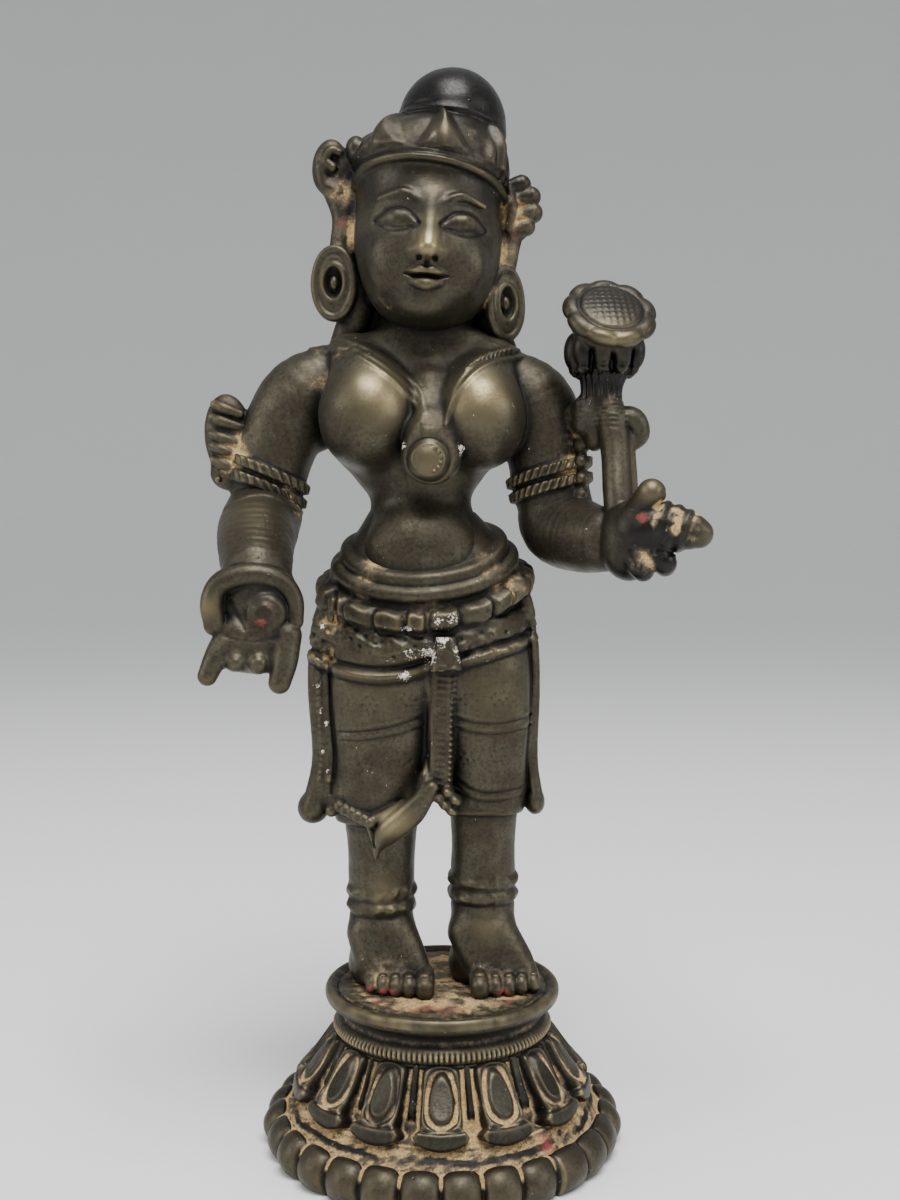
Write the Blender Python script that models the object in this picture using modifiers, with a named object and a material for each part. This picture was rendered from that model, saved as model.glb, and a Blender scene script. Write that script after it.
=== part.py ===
"""Cast copper-alloy goddess on a round lotus pedestal, one solid casting.

Metres, +Z up. The origin is the middle of the flat underside and the figure faces -Y.
The pedestal has its own sizes. The figure keeps its pose and proportions as shares of its
own height: its forms are given in figure units, 86.5 of which are that height, from the
middle of the plate that it stands on. Left and right are the viewer's.
"""

import math
from typing import NamedTuple

import bmesh
import bpy
from mathutils import Matrix, Vector

MM = 0.001

# Driving dimensions
FIGURE_HEIGHT = 86.5 * MM
PEDESTAL_HEIGHT = 14.6 * MM
RIM_RADIUS = 15.4 * MM
BEAD_RADIUS = 1.75 * MM
BEAD_COUNT = 28
LEDGE_HEIGHT = 3.9 * MM
PETAL_COUNT = 14
PETAL_WIDTH = 5.3 * MM
PETAL_THICKNESS = 2.0 * MM
PETAL_REACH = 13.3 * MM
COLLAR_RADIUS = 9.7 * MM
COLLAR_HEIGHT = 2.35 * MM
MILLED_RING_THICKNESS = 1.1 * MM
PLATE_RADIUS = 11.1 * MM
PLATE_THICKNESS = 1.15 * MM
PLATE_LIP = 0.15 * MM

# How finely the casting is skinned
VOXEL = 0.36 * MM
SMOOTHING_PASSES = 3
TRIANGLES = 9600

UNITS_PER_HEIGHT = 86.5
U = FIGURE_HEIGHT / UNITS_PER_HEIGHT
OVERLAP = 1.0 * MM

BRONZE_COLOUR = (0.105, 0.088, 0.058, 1.0)
BRONZE_ROUGHNESS = 0.42
BRONZE_METALLIC = 0.9


class Leg(NamedTuple):
    """One leg, in figure units."""

    x: float
    y: float
    anklet_z: float
    calf_radius: float
    knee_radius: float
    toes_ahead: tuple
    outer_side: int
    hem: tuple


class Arm(NamedTuple):
    """One arm as places with their radius, in figure units."""

    collar: tuple
    shoulder: tuple
    upper: tuple
    armlet: tuple
    elbow: tuple
    forearm: tuple
    wrist: tuple
    armlet_slope: float


class Ear(NamedTuple):
    """One ear with its disc, in figure units."""

    side: int
    x: float
    top: float
    disc_x: float
    disc_z: float
    disc_half_width: float


LEGS = (
    Leg(-5.85, 1.0, 7.4, 3.3, 4.2, (0.06, -1.0), -1, (-6.15, 16.2, 3.75)),
    Leg(3.9, 1.3, 8.4, 3.05, 3.6, (0.22, -0.98), 1, (4.15, 17.0, 3.4)),
)
GIVING_ARM = Arm(
    collar=(-8.5, 1.0, 58.4, 2.7),
    shoulder=(-13.0, 0.9, 55.8, 4.0),
    upper=(-15.3, 0.8, 51.5, 3.85),
    armlet=(-16.3, 0.6, 47.6, 3.75),
    elbow=(-16.7, 0.1, 42.7, 3.75),
    forearm=(-16.5, -4.5, 41.2, 3.4),
    wrist=(-16.2, -9.6, 39.7, 3.0),
    armlet_slope=-0.28,
)
HOLDING_ARM = Arm(
    collar=(5.0, 1.0, 58.0, 2.7),
    shoulder=(8.6, 0.8, 55.2, 3.75),
    upper=(9.8, 0.7, 51.2, 3.8),
    armlet=(10.1, 0.5, 47.6, 3.8),
    elbow=(11.1, -0.2, 43.6, 3.75),
    forearm=(13.4, -3.4, 42.4, 3.3),
    wrist=(15.6, -6.6, 42.1, 2.9),
    armlet_slope=0.24,
)
EARS = (
    Ear(-1, -10.4, 77.0, -10.0, 66.2, 2.15),
    Ear(1, 7.7, 74.3, 5.9, 64.2, 1.9),
)
BREASTS = ((-7.1, 53.7, 4.8), (3.7, 53.5, 4.4))
FACE_X = -1.1
CROWN_LEAVES = 8
CALYX_PETALS = 9
SEED_HEAD = Vector((15.1, -5.6, 62.6))
SEED_HEAD_AXIS = Vector((0.12, -0.76, 0.64)).normalized()
SEED_HEAD_RADIUS = 4.2


def clear_scene():
    for obj in list(bpy.data.objects):
        bpy.data.objects.remove(obj)


def figure_point(x, y, z):
    """A place on the figure, in figure units above the plate, as metres in the scene."""
    return Vector((x * U, y * U, PEDESTAL_HEIGHT + z * U))


def around(count, start=0.0):
    """The sine and cosine of evenly spaced turns, a list of (cosine, sine)."""
    turns = [start + math.tau * index / count for index in range(count)]
    return [(math.cos(turn), math.sin(turn)) for turn in turns]


def make_object(name, data, matrix=None):
    obj = bpy.data.objects.new(name, data)
    bpy.context.scene.collection.objects.link(obj)
    if matrix is not None:
        obj.matrix_world = matrix
    return obj


def aimed(direction):
    """A rotation that carries +Z to a direction."""
    return Vector(direction).to_track_quat("Z", "Y").to_matrix().to_4x4()


class Forms:
    """Collects the overlapping forms that the casting is fused from."""

    def __init__(self):
        self.objects = []

    def keep(self, obj):
        self.objects.append(obj)
        return obj

    def ellipsoid(self, centre, radii, direction=(0, 0, 1)):
        """A scaled ball, radii in metres, its third axis along the direction."""
        mesh = bpy.data.meshes.new("ellipsoid")
        ball = bmesh.new()
        bmesh.ops.create_icosphere(ball, subdivisions=3, radius=1.0)
        ball.to_mesh(mesh)
        ball.free()
        place = Matrix.Translation(centre) @ aimed(direction) @ Matrix.Diagonal((*radii, 1.0))
        return self.keep(make_object("ellipsoid", mesh, place))

    def lump(self, x, y, z, rx, ry=None, rz=None, direction=(0, 0, 1)):
        """A ball or ellipsoid in figure units."""
        radii = (rx * U, (ry or rx) * U, (rz or rx) * U)
        return self.ellipsoid(figure_point(x, y, z), radii, direction)

    def tube(self, points, closed=False, resolution=5):
        """A round tube through points (place, radius), all in metres, with filled caps."""
        curve = bpy.data.curves.new("tube", "CURVE")
        curve.dimensions = "3D"
        curve.resolution_u = resolution
        curve.bevel_depth = 1.0
        curve.bevel_resolution = 4
        curve.use_fill_caps = True
        spline = curve.splines.new("BEZIER")
        spline.bezier_points.add(len(points) - 1)
        spline.use_cyclic_u = closed
        for bezier, (place, radius) in zip(spline.bezier_points, points):
            bezier.co = place
            bezier.radius = radius
            bezier.handle_left_type = "AUTO"
            bezier.handle_right_type = "AUTO"
        return self.keep(make_object("tube", curve))

    def limb(self, *rows, closed=False, round_ends=False):
        """A tube in figure units: each row is x, y, z and the radius there."""
        self.tube([(figure_point(x, y, z), r * U) for x, y, z, r in rows], closed)
        if round_ends:
            for x, y, z, r in (rows[0], rows[-1]):
                self.lump(x, y, z, r)

    def loft(self, rows, squareness=2.0, sides=36):
        """A closed body through level oval sections in figure units.

        Each row is z, the middle x and y, and the half widths in x and y.
        """
        mesh = bpy.data.meshes.new("loft")
        body = bmesh.new()
        rings = []
        for z, x, y, half_x, half_y in rows:
            ring_verts = []
            for c, s in around(sides):
                across = math.copysign(abs(c) ** (2.0 / squareness), c) * half_x
                deep = math.copysign(abs(s) ** (2.0 / squareness), s) * half_y
                ring_verts.append(body.verts.new(figure_point(x + across, y + deep, z)))
            rings.append(ring_verts)
        for low, high in zip(rings, rings[1:]):
            for side in range(sides):
                after = (side + 1) % sides
                body.faces.new((low[side], low[after], high[after], high[side]))
        body.faces.new(list(reversed(rings[0])))
        body.faces.new(rings[-1])
        body.to_mesh(mesh)
        body.free()
        return self.keep(make_object("loft", mesh))

    def turned(self, profile, steps=72):
        """A body of revolution about Z: the profile runs from the top of the axis to its foot."""
        mesh = bpy.data.meshes.new("turned")
        edges = [(i, i + 1) for i in range(len(profile) - 1)]
        mesh.from_pydata([(r, 0.0, z) for r, z in profile], edges, [])
        obj = self.keep(make_object("turned", mesh))
        screw = obj.modifiers.new("Screw", "SCREW")
        screw.steps = steps
        screw.render_steps = steps
        screw.use_merge_vertices = True
        screw.merge_threshold = 0.00001
        return obj

    def fused(self, name):
        """All the forms in one mesh, in scene space. The forms themselves are removed."""
        bpy.context.view_layer.update()
        graph = bpy.context.evaluated_depsgraph_get()
        union = bmesh.new()
        for obj in self.objects:
            mesh = bpy.data.meshes.new_from_object(obj.evaluated_get(graph))
            mesh.transform(obj.matrix_world)
            union.from_mesh(mesh)
            bpy.data.meshes.remove(mesh)
        for obj in self.objects:
            bpy.data.objects.remove(obj)
        mesh = bpy.data.meshes.new(name)
        union.to_mesh(mesh)
        union.free()
        return mesh


def pedestal(forms):
    """Turned core, plate, milled ring, lotus petals and the beaded rim."""
    plate_under = PEDESTAL_HEIGHT - PLATE_THICKNESS
    milled_z = plate_under - COLLAR_HEIGHT
    petal_foot = LEDGE_HEIGHT + 0.9 * MM
    forms.turned(
        [
            (0.0, PEDESTAL_HEIGHT),
            (PLATE_RADIUS - 0.9 * MM, PEDESTAL_HEIGHT),
            (PLATE_RADIUS - 0.5 * MM, PEDESTAL_HEIGHT + PLATE_LIP),
            (PLATE_RADIUS, PEDESTAL_HEIGHT - 0.35 * MM),
            (PLATE_RADIUS - 0.2 * MM, plate_under + 0.1 * MM),
            (COLLAR_RADIUS, plate_under - 0.25 * MM),
            (COLLAR_RADIUS - 0.15 * MM, milled_z + MILLED_RING_THICKNESS),
            (COLLAR_RADIUS, milled_z - MILLED_RING_THICKNESS / 2),
            (PETAL_REACH - 2.2 * MM, petal_foot),
            (PETAL_REACH - 0.4 * MM, LEDGE_HEIGHT + 0.15 * MM),
            (RIM_RADIUS - 0.6 * MM, LEDGE_HEIGHT - 0.75 * MM),
            (RIM_RADIUS + 0.35 * MM, BEAD_RADIUS),
            (RIM_RADIUS + 0.5 * MM, 0.0),
            (RIM_RADIUS + 0.5 * MM, -OVERLAP),
            (0.0, -OVERLAP),
        ]
    )
    ring_radius = COLLAR_RADIUS + MILLED_RING_THICKNESS * 0.35
    milled = [Vector((ring_radius * c, ring_radius * s, milled_z)) for c, s in around(24)]
    forms.tube([(place, MILLED_RING_THICKNESS / 2) for place in milled], closed=True)
    front = -math.pi / 2
    for c, s in around(PETAL_COUNT, front):
        petal(forms, Vector((c, s, 0.0)), milled_z, petal_foot)
    for c, s in around(PETAL_COUNT, front + math.pi / PETAL_COUNT):
        sepal(forms, Vector((c, s, 0.0)), milled_z)
    bead_half_width = math.pi * RIM_RADIUS / BEAD_COUNT * 1.02
    for c, s in around(BEAD_COUNT, front + math.pi / BEAD_COUNT):
        centre = Vector((c * RIM_RADIUS, s * RIM_RADIUS, BEAD_RADIUS))
        forms.ellipsoid(centre, (bead_half_width, BEAD_RADIUS, BEAD_RADIUS), (c, s, 0.0))


def petal(forms, outward, milled_z, petal_foot):
    """One broad petal: a slanted shield that widens to a thick, rolled tip."""
    across = Vector((-outward.y, outward.x, 0.0))
    top = outward * (COLLAR_RADIUS - 0.2 * MM) + Vector((0, 0, milled_z - 0.3 * MM))
    tip = outward * (PETAL_REACH - PETAL_THICKNESS / 2) + Vector((0, 0, petal_foot + 0.7 * MM))
    along = (tip - top).normalized()
    face = across.cross(along).normalized()
    for share in (-1.0, -0.5, 0.0, 0.5, 1.0):
        side = across * share * PETAL_WIDTH
        start = top + side * 0.19
        middle = (top + tip) / 2 + side * 0.31 + face * 0.35 * MM * (1 - share * share)
        end = tip + side * 0.33 - along * 0.5 * MM * share * share
        forms.tube([(start, 0.45 * MM), (middle, 0.6 * MM), (end, 0.6 * MM)])
    lip = []
    for share in (-1.0, -0.6, 0.0, 0.6, 1.0):
        drop = along * (-0.8 * MM * share * share)
        lip.append((tip + across * share * PETAL_WIDTH * 0.33 + drop, PETAL_THICKNESS * 0.44))
    forms.tube(lip)


def sepal(forms, outward, milled_z):
    """The narrow rib that shows between two petals."""
    top = outward * (COLLAR_RADIUS - 0.2 * MM) + Vector((0, 0, milled_z - 0.6 * MM))
    foot = outward * (PETAL_REACH - 1.9 * MM) + Vector((0, 0, LEDGE_HEIGHT + 0.5 * MM))
    forms.tube([(top, 0.4 * MM), ((top + foot) / 2, 0.5 * MM), (foot, 0.55 * MM)])


def bangle(forms, centre, radii, thickness, slope_x=0.0, slope_y=0.0):
    """A ring in figure units whose plane may rise along x and along y."""
    x, y, z = centre
    rows = []
    for c, s in around(14):
        dx, dy = radii[0] * c, radii[1] * s
        rows.append((x + dx, y + dy, z + slope_x * dx + slope_y * dy, thickness))
    forms.limb(*rows, closed=True)


def legs(forms):
    """Shins with two anklets each, the feet, and the hem above each shin."""
    for leg in LEGS:
        x, y = leg.x, leg.y
        forms.limb(
            (x, y, 1.5, 2.9),
            (x, y, leg.anklet_z + 1.1, 3.0),
            (x + 0.05, y - 0.45, 14, leg.calf_radius),
            (x, y - 0.8, 20, leg.knee_radius),
        )
        for rise in (0.0, 1.35):
            bangle(forms, (x, y, leg.anklet_z + rise), (3.2, 3.2), 0.55)
        hem_x, hem_z, hem_radius = leg.hem
        bangle(forms, (hem_x, 0.35, hem_z), (hem_radius, hem_radius), 0.45, slope_x=0.06)
        foot(forms, leg)


def foot(forms, leg):
    """A foot with its ball, instep and five toes: the great toe is the inner one."""
    fx, fy = leg.toes_ahead
    sx, sy = -fy * leg.outer_side, fx * leg.outer_side
    x, y = leg.x + 0.25 + 0.45 * fx, leg.y - 1.0
    forms.lump(x + 0.1 * leg.outer_side, y + 0.9, 1.5, 3.1, 4.3, 2.1)
    forms.lump(x + fx * 2.4, y + fy * 2.4, 1.1, 3.7, 2.9, 1.35)
    forms.limb((x - fx, y - fy + 1.2, 5.0, 2.5), (x + fx * 1.6, y + fy * 1.6, 1.9, 2.0))
    for toe in range(5):
        side = -2.75 + 1.42 * toe
        reach = 4.55 - 0.16 * toe * toe
        radius = 0.98 if toe == 0 else 0.72
        start = (x + fx * 2.4 + sx * side, y + fy * 2.4 + sy * side)
        end = (x + fx * reach + sx * side, y + fy * reach + sy * side)
        forms.limb((*start, 1.2, radius), (*end, 0.75, radius), round_ends=True)


def skirt(forms):
    """Hips and the cloth drawn tight round each thigh."""
    forms.loft(
        [
            (15.8, -6.15, 0.3, 3.7, 3.7),
            (18.0, -6.2, 0.3, 3.95, 4.1),
            (24.0, -5.6, 0.2, 4.8, 5.1),
            (30.0, -5.0, 0.3, 5.6, 6.0),
            (35.0, -4.2, 0.4, 5.4, 6.0),
        ]
    )
    forms.loft(
        [
            (16.6, 4.15, 0.4, 3.35, 3.5),
            (19.0, 4.3, 0.4, 3.6, 4.0),
            (24.0, 4.2, 0.2, 4.3, 4.9),
            (30.0, 3.0, 0.3, 5.3, 5.9),
            (35.0, 1.6, 0.4, 5.4, 6.0),
        ]
    )
    forms.loft(
        [
            (24.5, -1.2, 0.6, 5.5, 3.0),
            (29.0, -1.5, 0.4, 9.2, 5.8),
            (33.0, -1.75, 0.4, 9.9, 6.4),
            (37.0, -1.6, 0.4, 9.2, 6.1),
            (40.0, -1.4, 0.4, 7.6, 5.4),
            (42.0, -1.4, 0.5, 6.5, 4.8),
        ]
    )


def hip_roll(forms, front_z, rise, centre_x, half_x, half_y, thickness):
    """A roll of cloth or a belt round the hips that dips at the front and leans with them."""
    rows = []
    for c, s in around(20):
        z = front_z + rise * (1 + s) ** 0.8 + 0.05 * half_x * c
        rows.append((centre_x + half_x * c, 0.4 + half_y * s, z, thickness))
    forms.limb(*rows, closed=True)


def girdle(forms):
    """Rolled waist cloth, plaque belt, lower swag, clasp and the pleats between the thighs."""
    hip_roll(forms, 38.2, 1.2, -1.25, 7.9, 5.6, 1.05)
    hip_roll(forms, 36.5, 1.3, -1.4, 8.9, 6.2, 0.75)
    hip_roll(forms, 34.5, 1.7, -1.6, 9.5, 6.6, 0.95)
    hip_roll(forms, 31.2, 1.7, -1.8, 10.15, 6.6, 0.75)
    clasp = [(30.9, 0.4, -6.6, 1.75, 1.5), (32.2, 0.4, -6.9, 1.3, 1.5), (34.2, 0.4, -7.0, 1.0, 1.2)]
    pleats = [(17.8, -0.5, -3.6, 1.2, 1.7), (24.0, -0.1, -4.2, 1.15, 1.7), (31.0, 0.0, -5.2, 1.05, 1.8)]
    forms.loft(clasp, squareness=4.0)
    forms.loft(pleats, squareness=4.0)


def sashes(forms):
    """The long sash ends down both sides and the pointed end across one thigh."""
    left = ((-9.3, 38.2), (-11.3, 34.0), (-11.8, 27.0), (-11.3, 22.0), (-12.1, 17.2))
    right = ((6.4, 38.6), (8.0, 34.0), (8.3, 27.0), (8.0, 22.0), (8.6, 17.6))
    for places, radius in ((left, 1.15), (right, 1.0)):
        for y in (-1.8, -0.1, 1.5):
            forms.limb(*[(x, y, z, radius) for x, z in places], round_ends=True)
    forms.lump(-9.9, -2.2, 37.2, 1.5, 1.5, 1.7)
    forms.lump(-12.2, -0.2, 16.3, 1.35, 2.6, 1.0)
    forms.lump(8.5, -0.1, 16.9, 1.15, 2.4, 0.9)
    forms.lump(-10.6, 0.4, 18.0, 1.6, 1.6, 3.4)
    edge = ((-0.6, -4.6, 24.5, 0.6), (-1.2, -4.9, 21.0, 0.8), (-2.8, -4.7, 17.6, 0.9), (-5.2, -3.9, 14.2, 0.7))
    inner = ((-1.6, -4.6, 18.6, 0.8), (-3.8, -4.3, 16.4, 0.9), (-6.1, -3.6, 12.8, 0.3))
    outer = ((-6.2, -3.4, 12.9, 0.3), (-6.6, -3.9, 15.4, 0.7), (-8.8, -3.2, 17.0, 0.5))
    for fold in (edge, inner, outer):
        forms.limb(*fold)


def torso(forms):
    """Waist, chest, shoulders, neck, breasts, the cords between them and their pendant."""
    forms.loft(
        [
            (38.0, -1.5, 0.4, 8.2, 5.5),
            (40.5, -1.4, 0.4, 7.2, 5.2),
            (43.0, -1.8, 0.5, 5.7, 4.6),
            (45.8, -2.0, 0.6, 4.75, 3.9),
            (48.5, -2.0, 0.6, 5.5, 3.9),
            (52.0, -2.0, 0.6, 8.6, 4.1),
            (56.0, -1.9, 0.8, 10.6, 4.2),
            (59.2, -1.7, 0.9, 9.8, 3.7),
            (61.2, -1.5, 0.9, 6.5, 3.3),
            (62.8, -1.3, 0.7, 3.9, 3.2),
            (66.0, -1.2, 0.3, 3.6, 3.6),
        ]
    )
    forms.lump(-1.9, -2.6, 41.2, 5.0, 2.9, 4.0)
    for x, z, radius in BREASTS:
        forms.lump(x, -3.5, z, radius, 4.8, radius + 0.4)
    forms.limb((-12.2, 0.9, 53.4, 2.3), (-11.7, 0.7, 50.8, 1.7), round_ends=True)
    forms.lump(5.9, 0.8, 50.6, 1.8, 1.8, 2.0)
    for y, z, radius in ((-6.0, 49.4, 2.5), (-7.2, 49.0, 1.5)):
        forms.lump(-0.95, y, z, radius, radius * 0.75, radius)
    forms.limb((-1.2, -2.9, 56.5, 1.5), (-1.0, -4.6, 52.5, 1.9), (-0.95, -5.7, 50.0, 1.9))
    for start, middle in (((-6.2, -1.4, 61.0), (-4.6, -3.1, 58.4)), ((4.0, -1.4, 60.4), (2.0, -3.2, 58.2))):
        forms.limb((*start, 0.8), (*middle, 0.75), (-1.4, -3.8, 56.2, 0.8))


def arms(forms):
    """Both arms with their armlets."""
    for arm in (GIVING_ARM, HOLDING_ARM):
        forms.limb(arm.collar, arm.shoulder, arm.upper, arm.armlet, arm.elbow)
        forms.lump(*arm.elbow)
        forms.limb(arm.elbow, arm.forearm, arm.wrist)
        x, y, z, radius = arm.armlet
        for rise in (-0.3, 1.8):
            bangle(forms, (x, y, z + rise), (radius, radius), 0.75, arm.armlet_slope, -0.05)
    forms.limb((14.6, -5.0, 45.3, 0.6), (16.2, -4.2, 43.0, 0.6), (15.8, -4.0, 40.5, 0.6))


def shoulder_fan(forms):
    """The ribbed, fan-shaped ornament outside the giving arm."""
    forms.lump(-19.6, 0.4, 51.8, 2.1, 1.7, 3.7, direction=(-0.08, 0, 1))
    for rise in (-1.0, -0.5, 0.0, 0.5, 1.0):
        reach = -20.7 - 0.6 * (1 - rise * rise)
        z = 51.8 + 2.9 * rise
        forms.limb((-19.0, -0.6, z, 0.75), (reach, -0.3, z + 0.1, 0.7), round_ends=True)


def giving_hand(forms):
    """The lowered hand, palm forward: outer fingers straight, the middle two bent, thumb arched."""
    forms.lump(-16.0, -10.9, 37.4, 3.9, 2.4, 3.7)
    straight = ((-18.5, -19.2, -19.7, 1.3), (-13.9, -13.4, -13.6, 1.5))
    for root_x, middle_x, tip_x, radius in straight:
        forms.limb(
            (root_x, -11.6, 36.1, radius),
            (middle_x, -12.3, 33.0, radius - 0.15),
            (tip_x, -12.9, 30.3, radius - 0.4),
            round_ends=True,
        )
    for x in (-17.1, -15.2):
        forms.limb((x, -11.4, 35.5, 1.5), (x, -12.4, 32.7, 1.2), (x, -13.4, 31.4, 0.9), round_ends=True)
    forms.limb(
        (-19.4, -12.2, 35.2, 1.0),
        (-19.5, -12.4, 37.4, 1.0),
        (-18.4, -12.4, 39.5, 1.0),
        (-16.2, -12.2, 40.3, 1.0),
        (-13.8, -11.8, 39.7, 1.0),
        round_ends=True,
    )
    forms.lump(-14.9, -12.5, 35.9, 2.0, 1.5, 2.1)


def holding_hand(forms):
    """The raised hand closed round the lotus stem: thumb above, three fingers beside it."""
    forms.lump(17.2, -8.6, 42.2, 2.9, 2.8, 3.6)
    forms.limb((16.9, -9.3, 44.2, 1.4), (17.9, -10.3, 46.0, 1.3), round_ends=True)
    forms.limb((17.4, -9.4, 43.6, 1.6), (19.9, -10.6, 43.3, 1.5), (21.9, -10.4, 42.5, 1.15), round_ends=True)
    forms.limb((17.4, -9.4, 41.8, 1.5), (19.3, -10.4, 41.4, 1.35), (20.3, -9.6, 41.0, 1.1), round_ends=True)
    forms.limb((17.0, -9.2, 40.2, 1.4), (18.9, -9.9, 39.7, 1.2), (19.6, -9.0, 39.4, 1.0), round_ends=True)


def lotus(forms):
    """Stem, bridge to the arm, curled leaf, calyx and the seed head that faces forward and up."""
    forms.limb(
        (15.9, -7.6, 42.0, 1.3),
        (15.6, -6.6, 46.0, 1.3),
        (15.3, -5.2, 50.0, 1.35),
        (15.3, -4.2, 53.5, 1.6),
        (14.8, -3.0, 57.2, 1.9),
    )
    forms.limb((11.0, 0.0, 53.4, 1.3), (13.2, -2.0, 53.5, 1.4), (15.2, -4.0, 53.8, 1.6))
    leaf = (
        (15.4, -4.2, 53.4, 1.4),
        (17.4, -4.4, 53.1, 1.3),
        (17.8, -4.4, 51.9, 1.1),
        (16.8, -4.8, 50.6, 0.7),
    )
    forms.limb(*leaf, round_ends=True)
    forms.lump(14.9, -3.4, 59.3, 3.5, 3.2, 1.9, direction=(0.05, -0.25, 0.97))
    for c, s in around(CALYX_PETALS):
        forms.lump(14.95 + 2.7 * c, -3.5 + 2.5 * s, 59.0, 1.25, 1.2, 1.6)
    for reach, radius, half_thickness in ((-1.6, SEED_HEAD_RADIUS - 0.8, 1.4), (0.0, SEED_HEAD_RADIUS, 0.95)):
        centre = SEED_HEAD + SEED_HEAD_AXIS * reach
        forms.lump(*centre, radius, radius, half_thickness, direction=SEED_HEAD_AXIS)


def head(forms):
    """Head and neck with a calm mask of plain proportions."""
    forms.lump(-1.3, -0.3, 70.2, 6.9, 6.7, 8.2)
    forms.lump(-1.2, -1.7, 66.3, 5.3, 5.0, 4.7)
    nose = ((FACE_X, -6.4, 72.4, 0.5), (FACE_X, -7.1, 70.2, 0.6), (FACE_X, -7.5, 68.4, 0.85))
    forms.limb(*nose, round_ends=True)
    for side in (-1, 1):
        forms.lump(FACE_X + side * 2.9, -5.9, 70.9, 2.0, 0.95, 0.95)
        forms.lump(FACE_X + side * 0.9, -6.9, 68.2, 0.6)
        brow = ((1.2, -6.5, 72.7, 0.4), (3.2, -6.2, 73.3, 0.45), (5.0, -4.9, 72.5, 0.35))
        forms.limb(*[(FACE_X + side * reach, y, z, r) for reach, y, z, r in brow])
    forms.lump(FACE_X, -6.2, 66.0, 1.75, 0.75, 0.42)
    forms.lump(FACE_X, -6.0, 65.2, 1.4, 0.75, 0.45)
    forms.lump(FACE_X, -5.1, 63.3, 1.9, 1.3, 1.3)


def crown(forms):
    """Brow band, a ring of pointed leaves and the domed topknot."""
    forms.loft(
        [
            (72.0, -1.2, 0.4, 6.9, 6.7),
            (75.0, -1.0, 0.4, 7.3, 7.0),
            (78.0, -0.6, 0.4, 6.8, 6.7),
            (80.4, 0.4, 0.6, 5.5, 5.9),
            (82.5, 0.8, 0.8, 4.9, 5.2),
        ]
    )
    forms.lump(0.9, 0.8, 81.4, 5.05, 5.3, 5.1)
    bangle(forms, (-1.1, 0.3, 74.9), (7.05, 6.8), 0.8, slope_x=-0.09, slope_y=-0.06)
    for c, s in around(CROWN_LEAVES, -math.pi / 2):
        tip = (0.1 + 5.6 * c, 0.5 + 5.7 * s, 80.6 - 0.4 * c, 0.45)
        for side in (-1.7, 0.0, 1.7):
            rows = []
            for reach, height, spread in ((7.0, 75.6, 1.0), (6.75, 78.2, 0.75)):
                x = -0.7 + reach * c - side * spread * s
                y = 0.3 + (reach - 0.3) * s + side * spread * c
                rows.append((x, y, height - 0.5 * c, 0.7))
            forms.limb(*rows, tip, round_ends=True)
    forms.lump(-7.8, 0.2, 78.7, 1.1, 1.0, 1.2)


def ears(forms):
    """Curled ear tops, long lobes and the ring-shaped discs."""
    for ear in EARS:
        out, x, top = ear.side, ear.x, ear.top
        forms.limb(
            (x + out * 0.1, 1.0, top + 1.2, 1.2),
            (x + out * 0.5, 1.0, top - 0.6, 1.35),
            (x - out * 0.5, 0.8, top - 2.6, 1.1),
            (ear.disc_x + out * 0.3, 0.4, ear.disc_z + 3.0, 0.95),
            round_ends=True,
        )
        forms.lump(x - out, 1.0, top - 0.6, 2.0, 1.5, 2.0)
        lobe = (ear.disc_x - out * 1.9, 1.8, ear.disc_z, 1.6)
        forms.limb((x - out * 1.6, 1.6, top - 2.0, 1.5), lobe, round_ends=True)
        ring_half = ear.disc_half_width - 0.75
        hoop = []
        for c, s in around(12):
            hoop.append((ear.disc_x + ring_half * c, -0.2 * out * c, ear.disc_z + 2.8 * s, 0.85))
        forms.limb(*hoop, closed=True)
        forms.lump(ear.disc_x, 0.3, ear.disc_z, ear.disc_half_width - 0.6, 0.8, 2.7)


def hair(forms):
    """Hair behind the neck, spread on the shoulders, with a rosette at the back of the head."""
    forms.lump(-1.4, 3.6, 66.5, 6.6, 3.2, 6.5)
    forms.lump(-1.4, 3.3, 61.5, 7.6, 2.4, 3.4)
    forms.limb((-8.2, 1.4, 64.5, 1.6), (-9.4, 1.8, 60.5, 1.7))
    forms.limb((4.8, 1.4, 63.0, 1.6), (6.0, 1.8, 59.8, 1.6))
    forms.lump(-1.2, 6.6, 73.0, 3.4, 1.3, 3.4)


def skin(mesh, name):
    """One closed, lightly smoothed skin over the overlapping forms, thinned to its triangle count."""
    obj = make_object(name, mesh)
    remesh = obj.modifiers.new("Remesh", "REMESH")
    remesh.mode = "VOXEL"
    remesh.voxel_size = VOXEL
    smooth = obj.modifiers.new("Smooth", "SMOOTH")
    smooth.factor = 0.5
    smooth.iterations = SMOOTHING_PASSES
    bpy.context.view_layer.update()
    evaluated = obj.evaluated_get(bpy.context.evaluated_depsgraph_get())
    quads = len(evaluated.data.polygons)
    decimate = obj.modifiers.new("Decimate", "DECIMATE")
    decimate.ratio = min(1.0, TRIANGLES / (2.0 * quads))
    return obj


def bronze_material():
    material = bpy.data.materials.new("dark_bronze")
    material.use_nodes = True
    shader = material.node_tree.nodes["Principled BSDF"]
    shader.inputs["Base Color"].default_value = BRONZE_COLOUR
    shader.inputs["Roughness"].default_value = BRONZE_ROUGHNESS
    shader.inputs["Metallic"].default_value = BRONZE_METALLIC
    return material


def ground_cutter(name):
    """A block below the ground that cuts the underside flat."""
    mesh = bpy.data.meshes.new(name)
    block = bmesh.new()
    bmesh.ops.create_cube(block, size=1.0)
    block.to_mesh(mesh)
    block.free()
    size = 3 * RIM_RADIUS
    place = Matrix.Translation((0, 0, -size / 2)) @ Matrix.Diagonal((size, size, size, 1.0))
    obj = make_object(name, mesh, place)
    obj.hide_render = True
    obj.display_type = "WIRE"
    return obj


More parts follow.
